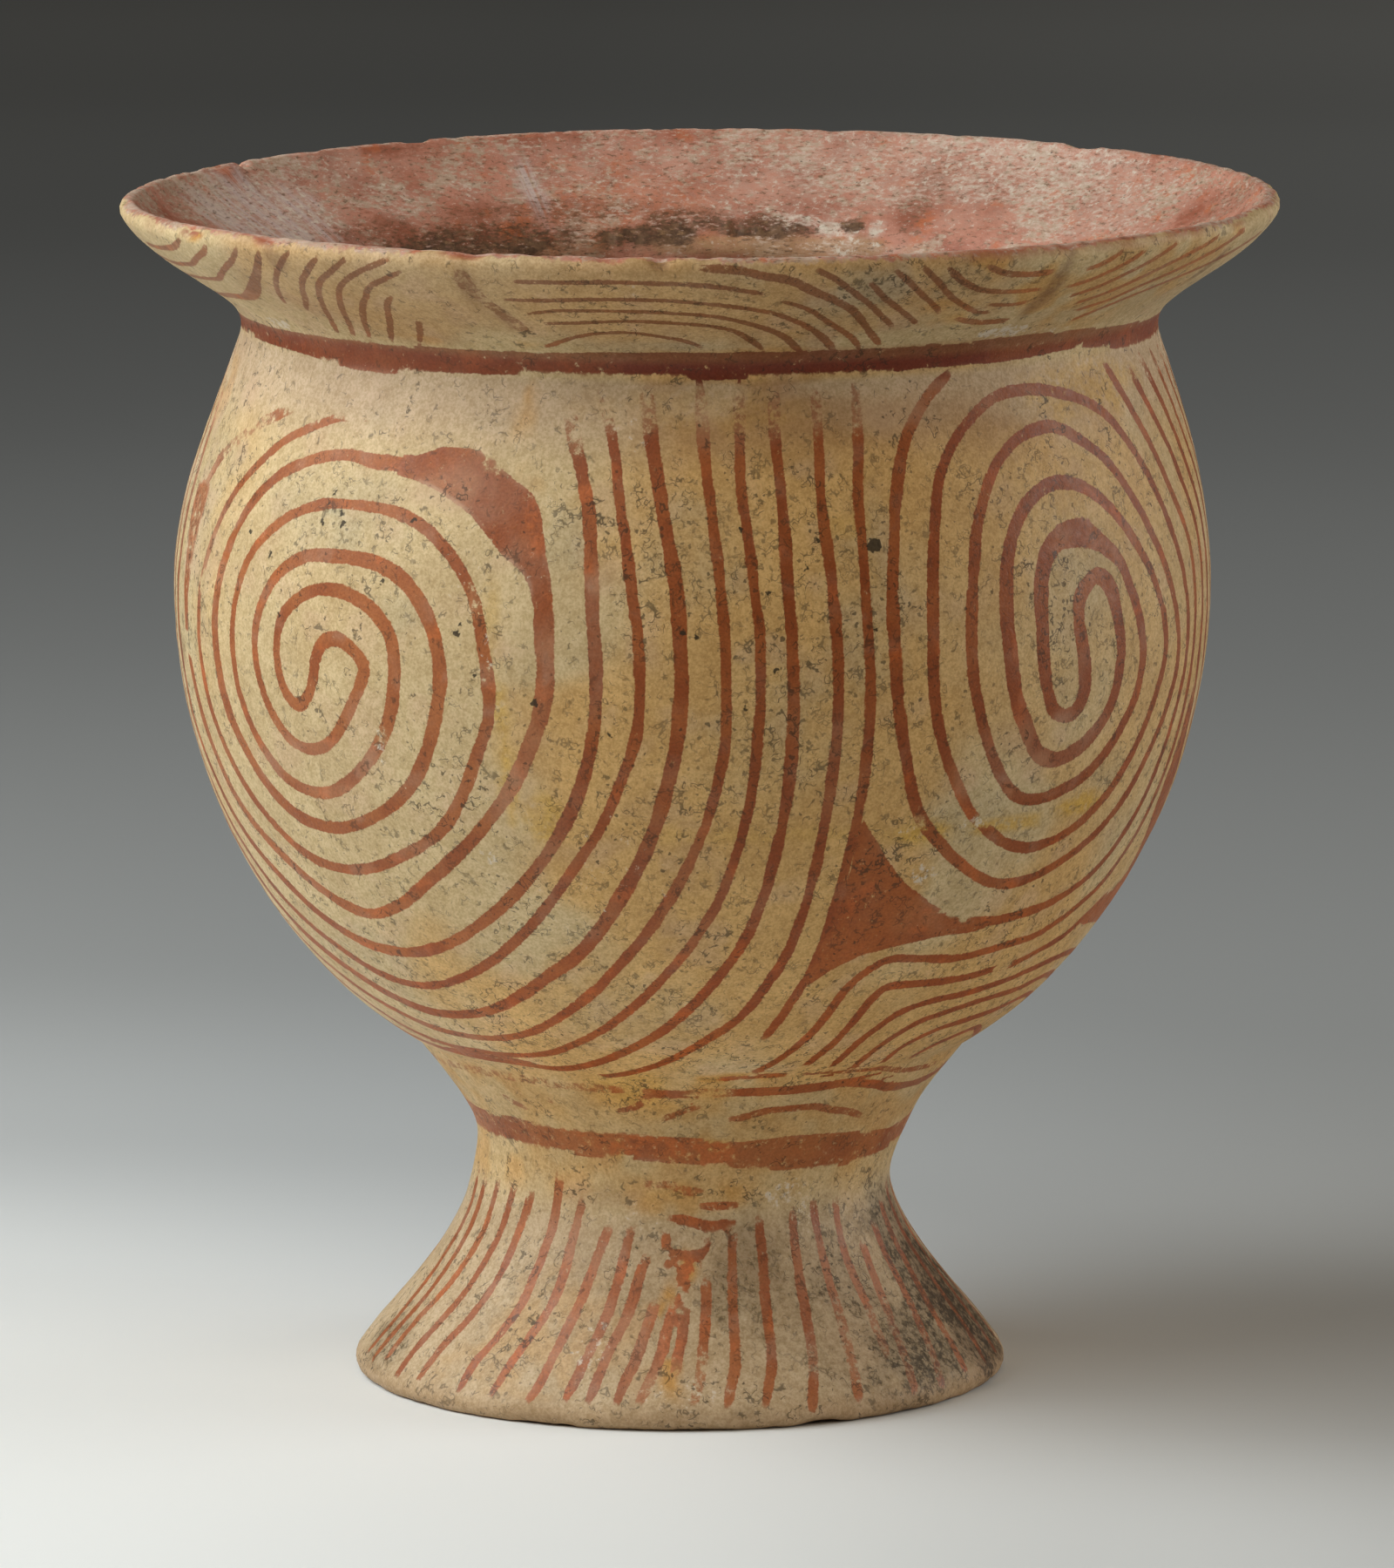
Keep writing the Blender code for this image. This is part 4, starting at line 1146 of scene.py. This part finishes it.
class Graph:
    """Short words for a material's nodes. Sizes are in millimetres."""

    def __init__(self, name):
        self.material = bpy.data.materials.new(name)
        self.material.use_nodes = True
        self.tree = self.material.node_tree
        self.shader = self.tree.nodes["Principled BSDF"]
        here = Signal(self, self.node("TexCoord").outputs["Object"])
        self.where = self.vector("MULTIPLY", here, (1.0 / MM, 1.0 / MM, 1.0 / MM))

    def node(self, kind, *values, **settings):
        """A new node with these settings, its first inputs fed in order."""
        node = self.tree.nodes.new("ShaderNode" + kind)
        for name, setting in settings.items():
            setattr(node, name, setting)
        for socket, value in zip(node.inputs, values):
            self.feed(socket, value)
        return node

    def feed(self, socket, value):
        if isinstance(value, Signal):
            self.tree.links.new(value.socket, socket)
        else:
            socket.default_value = value

    def math(self, operation, *values, clamp=False):
        node = self.node("Math", *values, operation=operation, use_clamp=clamp)
        return Signal(self, node.outputs[0])

    def larger(self, first, second):
        return self.math("MAXIMUM", first, second)

    def vector(self, operation, *values):
        node = self.node("VectorMath", *values, operation=operation)
        return Signal(self, node.outputs["Value" if operation in ("LENGTH", "DISTANCE") else "Vector"])

    def parts(self, vector):
        return [Signal(self, output) for output in self.node("SeparateXYZ", vector).outputs]

    def step(self, value, low, high, start=0.0, end=1.0):
        """Smoothly from start to end as the value goes from low to high."""
        node = self.node("MapRange", value, low, high, start, end, interpolation_type="SMOOTHSTEP")
        return Signal(self, node.outputs["Result"])

    def zone(self, value, begins, whole, ends, ended):
        return self.step(value, begins, whole) * self.step(value, ends, ended, 1.0, 0.0)

    def mix(self, share, first, second, mode="MIX"):
        node = self.node("Mix", share, data_type="RGBA", blend_type=mode)
        self.feed(node.inputs[6], first)
        self.feed(node.inputs[7], second)
        return Signal(self, node.outputs[2])

    def layered(self, colour, *layers):
        """The colour under these layers in turn: each its share, its colour and its way to mix."""
        for share, over, *mode in layers:
            colour = self.mix(share, colour, over, *mode)
        return colour

    def noise(self, size, detail, rough, where=None, output="Fac"):
        node = self.node("TexNoise", where or self.where)
        for name, value in (("Scale", 1.0 / size), ("Detail", detail), ("Roughness", rough)):
            node.inputs[name].default_value = value
        return Signal(self, node.outputs[output])

    def elsewhere(self, *offset):
        return self.vector("ADD", self.where, offset)

    def warped(self, size, reach):
        """The place, pushed about by smooth noise of this size."""
        push = self.vector("ADD", self.noise(size, 1.0, 0.5, output="Color"), (-0.5, -0.5, -0.5))
        return self.vector("ADD", self.where, self.vector("MULTIPLY", push, (reach, reach, reach)))

    def stored(self, name):
        """The three numbers that the mesh stores under this name."""
        return self.parts(Signal(self, self.node("Attribute", attribute_name=name).outputs["Vector"]))


class Clay(Graph):
    """The jar's material, with what its colours share."""

    def __init__(self):
        super().__init__("painted_clay")
        self.down, self.gold, self.middle = self.stored("place")
        self.cosine, self.sine, self.half = self.stored("stroke")
        self.filled, self.cover, self.tone = self.stored("ink")
        # stain is partly painted shade on the right of the foot; pale is partly painted light low inside
        # at the back left
        self.stain, self.pale, self.yellow = self.stored("age")
        # smoke is soot outside and painted shade low inside; veil is partly painted light low inside at
        # the back left
        self.smoke, self.flame, self.veil_and_light = self.stored("age_more")
        self.film, self.glow, self.patch = self.stored("tint")
        self.fine = self.noise(2.1, 2.0, 0.6)
        self.grit = self.noise(0.7, 2.0, 0.6)
        self.speckle = self.noise(2.1, 4.0, 0.7, self.elsewhere(0.0, 0.0, 500.0))
        self.broad = self.film * 0.5 + self.patch * 0.5
        self.on_foot = self.step(self.down, *FOOT_START)
        self.on_neck = self.zone(self.down, *NECK_ZONE)
        self.on_shoulder = self.zone(self.down, *SHOULDER_ZONE)
        # Painted light from the floor on the low belly
        self.floor_lit_low_belly = self.zone(self.down, *LOW_BELLY_ZONE)
        # Painted shade under the flare of the rim
        self.shaded_under_rim = self.step(self.down, *RIM_END, 1.0, 0.0) * self.step(self.gold, -0.65, 0.0)
        # Soot outside, and painted shade low inside
        self.sooty_and_shaded = self.math("MULTIPLY", self.smoke, self.step(self.speckle, 0.35, 0.6, 0.35, 1.0),
                               clamp=True)
        self.dusk = self.step(self.speckle - self.stain * 0.2, 0.22, 0.34, 1.0, 0.0)
        dense = self.stain * 0.09 + self.patch * 0.05 + self.step(self.gold, -0.2, 0.6, 0.01, 0.06)
        dense = dense - self.step(self.down, 56.0, 84.0, 0.05, 0.0)
        self.roots = self.rootlets(dense)
        self.specks = self.dark_specks(dense)
        self.paint = self.paint_cover()

    def rootlets(self, dense):
        """Dark marks of rootlets, from 0 to 1."""
        here = self.noise(3.4, 1.0, 0.5, self.elsewhere(300.0, 0.0, 0.0))
        on_stains = self.on_foot * 0.05 + self.stain * 0.12
        found = 0.0
        for family, share in ((ROOTS, dense), (FINE_ROOTS, dense), (LONG_ROOTS, on_stains)):
            size, offset, width, rarity = family
            winding = self.noise(size, 2.0, 0.6, self.elsewhere(0.0, offset, 0.0))
            line = self.step(abs(winding - 0.5), 0.25 * width, width, 1.0, 0.0)
            found = self.larger(line * self.step(here + share, rarity, rarity + 0.07), found)
        return found

    def dark_specks(self, dense):
        cells = self.node("TexVoronoi", self.warped(1.1, 1.6))
        cells.inputs["Scale"].default_value = 1.0 / 2.3
        far = Signal(self, cells.outputs["Distance"])
        own = self.parts(Signal(self, cells.outputs["Color"]))[0]
        size = self.step(own + dense, 0.48, 1.0, 0.0, 0.2) * (dense * 5.0 + 0.9)
        return self.step(size - far, -0.03, 0.05)

    def soil_pits(self):
        torn = self.warped(1.3, 2.6)
        deepest = -1.0
        for u, down, radius in PITS:
            at, _ = place(np.array([u]), np.array([down]))
            deepest = self.larger(radius - self.vector("DISTANCE", torn, at[0]), deepest)
        return self.step(deepest, -0.12, 0.2)

    def paint_cover(self):
        """How much paint there is, from 0 to 1, from the nearest stroke and the nearest fill."""
        period = (self.step(self.down, RIM_ZONE - 0.01, RIM_ZONE, CLOSE_PERIOD, SIDE_PERIOD)
                  - self.step(self.down, FOOT_ZONE - 0.01, FOOT_ZONE, 0.0, SIDE_PERIOD - CLOSE_PERIOD))
        turn = abs(self.math("ARCTAN2", self.sine, self.cosine)) / math.tau
        edge = self.math("MINIMUM", turn * period - self.half, self.filled)
        shift = (self.step(self.fine, 0.2, 0.8, -EDGE_SHIFT, EDGE_SHIFT)
                 + self.step(self.grit, 0.2, 0.8, -FINE_EDGE_SHIFT, FINE_EDGE_SHIFT))
        holes = self.step(self.speckle + (1.0 - self.cover) * 0.5, 0.64, 0.82)
        within = self.step(edge + shift, -EDGE_SOFTNESS, EDGE_SOFTNESS, 1.0, 0.0)
        left = self.step(self.cover, 0.0, 0.9, 0.2, 1.0) * self.step(self.down, 44.0, 47.0, 0.8, 0.97)
        return within * (1.0 - holes) * left


def ground_colour(clay):
    """The bare clay outside."""
    down, gold, middle, stain = clay.down, clay.gold, clay.middle, clay.stain
    foot_join = clay.zone(down, *FOOT_JOIN_ZONE)
    # Earth on the foot's stains, partly painted shade on its right side
    foot_soil_and_shade = stain * clay.on_foot * clay.step(clay.speckle, 0.3, 0.6, 1.0, 0.5)
    mottle = clay.grit * 0.5 + clay.speckle * 0.5
    return clay.layered(
        BUFF,
        (clay.step(gold, -0.6, 0.8), BUFF_GOLD),
        (clay.step(middle, 0.0, 0.9, 0.0, 0.4), BUFF_ROSY),
        (stain * clay.step(middle, -0.8, 0.4, 0.25, 0.8), BUFF_GREY),
        # The shoulder browner under the rim: partly staining, partly painted shade from the flare
        (clay.on_shoulder * 0.8, clay.mix(clay.step(gold, -0.2, 0.7), SHOULDER, UMBER)),
        (foot_join * clay.step(middle, -0.6, 0.6, 0.15, 0.5), OCHRE),
        (clay.on_foot * 0.85, FOOT_BUFF),
        (clay.flame * clay.step(middle, -0.5, 0.3), OCHRE),
        (clay.yellow * clay.step(clay.fine, 0.2, 0.55), YELLOW),
        (foot_soil_and_shade * 0.95, EARTH),
        (1.0, clay.mix(clay.step(clay.broad, -0.7, 0.7), CLOUD_DARK, CLOUD_LIGHT), TINT),
        # Painted shade under the rim's flare
        (clay.shaded_under_rim * 0.9, UNDER_RIM_SHADE, TINT),
        # Painted light from the floor on the low belly
        (clay.floor_lit_low_belly, LOW_CLAY_LIGHT, TINT),
        (clay.step(down, 354.0, 363.0, 0.0, 0.45), UMBER),
        (1.0, clay.mix(clay.step(mottle, 0.37, 0.63), GRAIN_DARK, GRAIN_LIGHT), TINT),
    )


def paint_colour(clay):
    """The red paint outside, under a thin haze."""
    haze = clay.step(clay.film, 0.1, 0.9, 0.0, 0.45) + clay.veil_and_light * 0.6
    haze = haze * clay.step(clay.gold, -0.3, 0.6, 1.0, 0.6) + clay.on_foot * 0.15
    haze = haze * clay.step(clay.filled, -1.5, -0.3, 0.35, 1.0) * (1.0 - clay.on_neck * 0.7)
    return clay.layered(
        RED_DEEP,
        (clay.step(clay.tone + clay.middle * 0.45, 0.1, 0.95), RED),
        (clay.flame * clay.step(clay.fine, 0.35, 0.6), FLAME),
        (clay.step(clay.glow, 0.3, 0.9, 0.0, 0.5), FLAME),
        # Warmer paint, partly painted warm light
        (clay.step(clay.gold, -0.3, 0.6), GOLDEN_PAINT_AND_WARM_LIGHT, TINT),
        # Painted light from the floor on the low belly
        (clay.floor_lit_low_belly, LOW_PAINT_LIGHT, TINT),
        # The strokes under the rim's flare darkened: painted shade
        (clay.shaded_under_rim * 0.6, SMOKE),
        # The neck band deeper red: partly its own colour, partly painted shade under the rim's flare
        (clay.on_neck * clay.step(clay.gold, -0.2, 0.3, 0.5, 0.9), WINE),
        (haze * clay.step(clay.fine, 0.25, 0.65, 0.55, 1.0), MAUVE),
        (1.0, clay.mix(clay.step(clay.grit, 0.3, 0.7), PAINT_DARK, PAINT_LIGHT), TINT),
    )


def outer_colour(clay):
    """The outer face: clay, paint, and what lies on both."""
    veiled = (clay.veil_and_light * clay.step(clay.middle, -0.3, 0.6, 0.05, 0.45)
              * clay.step(clay.filled, -1.5, -0.3, 0.3, 1.0))
    crumbs = clay.step(clay.speckle + (clay.pale * 0.3 - clay.on_shoulder * 0.06), 0.70, 0.84)
    dark = clay.larger(clay.roots * clay.step(clay.patch, -0.9, 0.9, 0.55, 1.0), clay.specks * 0.9)
    dark = clay.larger(dark, clay.dusk * clay.step(clay.stain, 0.0, 0.6, 0.45, 0.85))
    return clay.layered(
        ground_colour(clay),
        (clay.paint, paint_colour(clay)),
        (clay.sooty_and_shaded * 0.8, SMOKE),
        (veiled, clay.mix(clay.step(clay.gold, -0.2, 0.7), BUFF_ROSY, UMBER)),
        (crumbs * 0.8, BONE),
        (dark * clay.step(clay.middle, -0.7, 0.7, 0.5, 0.8), SOOT),
        (clay.soil_pits() * 0.92, SOOT),
    )


def inner_colour(clay):
    """The inner face: worn red slip near the mouth, and clay darkened with painted shade down in the
    bowl.
    """
    middle, pale, smoke, fine = clay.middle, clay.pale, clay.smoke, clay.fine
    brushed = clay.noise(1.5, 4.0, 0.7, clay.vector("MULTIPLY", clay.where, (0.5, 0.5, 1.2)))
    flattened = clay.vector("MULTIPLY", clay.where, (0.35, 0.35, 1.1))
    scratched = clay.noise(0.8, 3.0, 0.65, clay.vector("ADD", flattened, (0.0, 0.0, 700.0)))
    # The direction from the axis alone, so that what is drawn there runs downwards
    outwards = clay.vector("NORMALIZE", clay.vector("MULTIPLY", clay.where, (1.0, 1.0, 0.0)))
    neck = NECK_RADIUS / MM
    streaks = clay.noise(2.4, 3.0, 0.65, clay.vector("MULTIPLY", outwards, (neck, neck, 0.0)))
    rubbed = clay.patch * 0.17 + clay.film * 0.10 + brushed
    scraped = scratched + (clay.broad * 0.10 + pale * 0.10)
    slip = clay.layered(
        SLIP,
        (clay.step(middle * 0.5 + brushed * 2.0, 0.5, 1.6), SLIP_DEEP),
        (clay.step(clay.glow, 0.2, 0.9, 0.0, 0.45), FLAME),
        (pale * clay.step(brushed, 0.35, 0.65, 0.1, 0.8), SLIP_PALE),
        (clay.step(rubbed, 0.48, 0.68, 0.0, 0.8), SLIP_BARE),
        (clay.yellow * clay.step(brushed, 0.3, 0.6, 0.95, 0.6), UMBER),
        (clay.flame * clay.step(fine, 0.35, 0.55), FLAME),
        # Lighter streaks; low inside at the back left they are painted light
        (clay.veil_and_light * clay.step(streaks, 0.42, 0.60, 0.1, 0.9), SLIP_VEIL),
        (clay.step(scratched - smoke * 0.08, 0.32, 0.44, 0.75, 0.0), BOWL_CLAY_AND_SHADE),
        # Painted shade low inside, where the dark patches lie
        (clay.sooty_and_shaded * 0.75, SMOKE),
        (clay.step(scraped, 0.58, 0.70, 0.0, 0.6), SLIP_PALE),
        (clay.step(clay.speckle + pale * 0.14, 0.62, 0.78) * 0.8, BONE),
        (clay.larger(clay.specks * 0.8, clay.dusk * 0.6) * 0.85, SOOT),
    )
    # The bowl below the slip, in painted shade
    bowl = clay.layered(
        BOWL_CLAY_AND_SHADE,
        (clay.step(fine, 0.35, 0.65), BOWL_DEEP_SHADE),
        (clay.step(brushed, 0.55, 0.7, 0.0, 0.6), UMBER),
    )
    # The painted shade of the bowl reaches higher under the dark patches low inside
    level = clay.down + (middle * 2.0 - smoke * 15.0 + (scratched - 0.5) * 34.0)
    return clay.mix(clay.step(level, *BOWL_START, 1.0, 0.0), slip, bowl)


def clay_material():
    clay = Clay()
    down, fine = clay.down, clay.fine
    rubbed_edge = down + (fine - 0.5) * 5.0 - clay.step(clay.patch, -0.6, 0.4, 0.4, 2.4)
    crest = clay.step(abs(down - LIP_CREST), 0.3, 1.5, 0.55, 0.0)
    chipped = clay.flame * clay.step(abs(down), 2.5, 5.5, 1.0, 0.0)
    hollow = clay.layered(
        FOOT_CLAY,
        (clay.step(clay.middle, -0.5, 0.6), UMBER),
        (clay.larger(clay.roots, clay.specks) * 0.7, SOOT),
    )
    colour = clay.layered(
        inner_colour(clay),
        (clay.step(rubbed_edge, -0.6, 1.0), outer_colour(clay)),
        (crest * clay.step(fine, 0.35, 0.6), SLIP_PALE),
        (chipped * clay.step(fine, 0.3, 0.5), SLIP_DEEP),
        (clay.step(down, GROUND - 2.0, GROUND + 2.0), hollow),
    )
    relief_there = clay.step(abs(down - SHOULDER_MIDDLE), 12.0, 30.0, SHOULDER_BUMP, CLAY_BUMP)
    bump = clay.node("Bump")
    bump.inputs["Distance"].default_value = MM
    clay.feed(bump.inputs["Height"], clay.grit * GRIT_BUMP + fine * relief_there)
    sockets = clay.shader.inputs
    clay.feed(sockets["Base Color"], colour)
    roughness = clay.step(fine, 0.2, 0.8, *CLAY_ROUGHNESS) - clay.paint * PAINT_SMOOTHNESS
    clay.feed(sockets["Roughness"], roughness)
    clay.feed(sockets["Normal"], Signal(clay, bump.outputs[0]))
    sockets["Specular IOR Level"].default_value = CLAY_SPECULAR
    sockets["Metallic"].default_value = 0.0
    return clay.material


# How much of the wedges and bands is still covered, above the foot's band and from there down
FILL_COVER, FOOT_FILL_COVER = 0.94, 0.82
# The tone of solid red, and where on the belly it is lighter
FILL_TONE, LOW_FILL_TONE = 0.35, 0.7
LOW_FILLS = (150.0, 300.0)
# The painting begins this far down from the crest, and ends this far past the ground's ring
PAINT_START, PAINT_END = 0.5, 1.0
FOOT_FILLS = FOOT_BAND[0][1] - 5.0


def add_vectors(mesh, name, *columns):
    layer = mesh.attributes.new(name, "FLOAT_VECTOR", "POINT")
    layer.data.foreach_set("vector", np.stack(columns, -1).astype(np.float32).ravel())


def cut_along(faces, cosine, sine):
    """Triangles: a four-sided face is cut along the diagonal that runs more nearly with the stroke."""
    cut = []
    for face in faces:
        if len(face) == 3:
            cut.append(face)
            continue
        a, b, c, d = face
        across = (cosine[a] - cosine[c]) ** 2 + (sine[a] - sine[c]) ** 2
        other = (cosine[b] - cosine[d]) ** 2 + (sine[b] - sine[d]) ** 2
        cut += [(a, b, c), (a, c, d)] if across <= other else [(a, b, d), (b, c, d)]
    return cut


def painted(u, down, points):
    """What the painting stores at each point: the turn of the side distance, the stroke's half
    width, how far off the nearest fill is, cover and tone."""
    outer = np.flatnonzero((down > PAINT_START) & (down < GROUND + PAINT_END))
    at, u_out, down_out = points[outer], u[outer], down[outer]
    side, half, cover, tone = paint_strokes().nearest(at)
    edge = fill_edge(u_out, down_out, at)
    rubbed = patches(u_out, down_out, at, WORN, 61)
    fill_cover = np.where(down_out > FOOT_FILLS, FOOT_FILL_COVER, FILL_COVER)
    cover = np.clip(np.where(edge < 0.0, fill_cover, cover) - rubbed, 0.0, 1.0)
    low = (down_out > LOW_FILLS[0]) & (down_out < LOW_FILLS[1])
    fill_tone = np.where(low, LOW_FILL_TONE, FILL_TONE) + 0.25 * noise(at, 20.0, 62)
    tone = np.where(edge < 0.0, fill_tone, tone)
    close = (down_out < RIM_ZONE) | (down_out > FOOT_ZONE)
    angle = math.tau * np.clip(side / np.where(close, CLOSE_PERIOD, SIDE_PERIOD), -0.5, 0.5)
    found = []
    for values, unpainted in ((np.cos(angle), -1.0), (np.sin(angle), 0.0), (half, 1.0),
                              (edge, NO_FILL), (cover, 0.0), (tone, 0.5)):
        whole = np.full(len(u), float(unpainted))
        whole[outer] = values
        found.append(whole)
    return found


def make_jar():
    u, down, faces = skin_points()
    points, normal = place(u, down)
    shaped = points + normal * relief(u, down, points)[:, None]
    low, high = (np.array(corner) / MM for corner in cad_box)
    shaped = np.clip(shaped, low, high)
    cosine, sine, half, edge, cover, tone = painted(u, down, points)
    mesh = bpy.data.meshes.new("painted_jar_skin")
    mesh.from_pydata((shaped * MM).tolist(), [], cut_along(faces, cosine.tolist(), sine.tolist()))
    mesh.update()
    mesh.shade_smooth()

    def aged(spots, seed, fray=0.28):
        return patches(u, down, points, spots, seed, fray)

    golden = patches(u, down, points, GOLDEN_AND_WARM_LIGHT, 85, 0.4, 30.0)
    gold = 0.3 * cloud(points, 34.0, 3, 75) + 1.3 * golden - 0.5
    add_vectors(mesh, "place", down, gold, cloud(points, 9.0, 2, 77))
    add_vectors(mesh, "tint", cloud(points, 8.0, 3, 79), cloud(points, 6.0, 2, 81),
                cloud(points, 17.0, 4, 83))
    add_vectors(mesh, "stroke", cosine, sine, half)
    add_vectors(mesh, "ink", edge, cover, tone)
    add_vectors(mesh, "age", aged(STAINED_AND_SHADED, 63), aged(PALE, 65), aged(YELLOWED, 67))
    add_vectors(mesh, "age_more", aged(SMOKED_AND_SHADED, 69, 0.22), aged(FLAMED, 71), aged(VEILED_AND_LIT, 73))
    mesh.materials.append(clay_material())
    jar = add_object("painted_jar_skin", mesh)
    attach(jar, "root")
    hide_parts("painted_jar")


FLOOR_COLOUR = (0.81, 0.84, 0.84)
# Where the light is strongest on the floor, from the middle of the jar, in millimetres
FLOOR_MIDDLE = (-250.0, -220.0, 0.0)
# Metres from there, share of the floor's colour
FLOOR_FADE = (
    (0, 1), (0.22, 0.99), (0.35, 0.88), (0.56, 0.66), (0.85, 0.51), (1.4, 0.53), (2, 0.6), (2.7, 0.71),
    (3.3, 0.92), (3.8, 1.15),
)
# Behind the jar the floor lightens towards the right: from how far back, how fast, and its limits
FLOOR_SIDE_START = 1300.0
FLOOR_SIDE_RATE = 0.33e-6
FLOOR_SIDE_LIMITS = (0.95, 1.3)
FLOOR_CORNERS = 96
FLOOR_RADIUS = 16.0
FLOOR_DROP = 0.0002
FLOOR_ROUGHNESS = 0.9
FLOOR_SPECULAR = 0.1


def floor_material():
    """A pale ground that lies in less and less light away from the jar."""
    graph = Graph("floor")
    reach = FLOOR_FADE[-1][0]
    away = graph.vector("DISTANCE", graph.where, FLOOR_MIDDLE)
    fade = graph.node("ValToRGB", away / (reach / MM))
    ramp = fade.color_ramp
    ramp.interpolation = "EASE"
    for index, (distance, share) in enumerate(FLOOR_FADE):
        stop = ramp.elements[index] if index < 2 else ramp.elements.new(distance / reach)
        stop.position = distance / reach
        stop.color = tuple(share * part for part in FLOOR_COLOUR) + (1.0,)
    x, y, _ = graph.parts(graph.where)
    side = x * ((y - FLOOR_SIDE_START) * FLOOR_SIDE_RATE) + 1.0
    side = graph.math("MINIMUM", graph.larger(side, FLOOR_SIDE_LIMITS[0]), FLOOR_SIDE_LIMITS[1])
    tone = graph.node("CombineXYZ", side, side, side)
    colour = graph.mix(1.0, Signal(graph, fade.outputs[0]), Signal(graph, tone.outputs[0]), TINT)
    graph.feed(graph.shader.inputs["Base Color"], colour)
    graph.shader.inputs["Roughness"].default_value = FLOOR_ROUGHNESS
    graph.shader.inputs["Specular IOR Level"].default_value = FLOOR_SPECULAR
    return graph.material


def make_floor():
    mesh = bpy.data.meshes.new("floor")
    angles = [math.tau * corner / FLOOR_CORNERS for corner in range(FLOOR_CORNERS)]
    ring = [(FLOOR_RADIUS * math.cos(angle), FLOOR_RADIUS * math.sin(angle), 0.0) for angle in angles]
    mesh.from_pydata(ring, [], [tuple(range(FLOOR_CORNERS))])
    mesh.materials.append(floor_material())
    add_object("floor", mesh, (0.0, 0.0, -FLOOR_DROP))


make_camera()
make_lights()
make_floor()
make_jar()
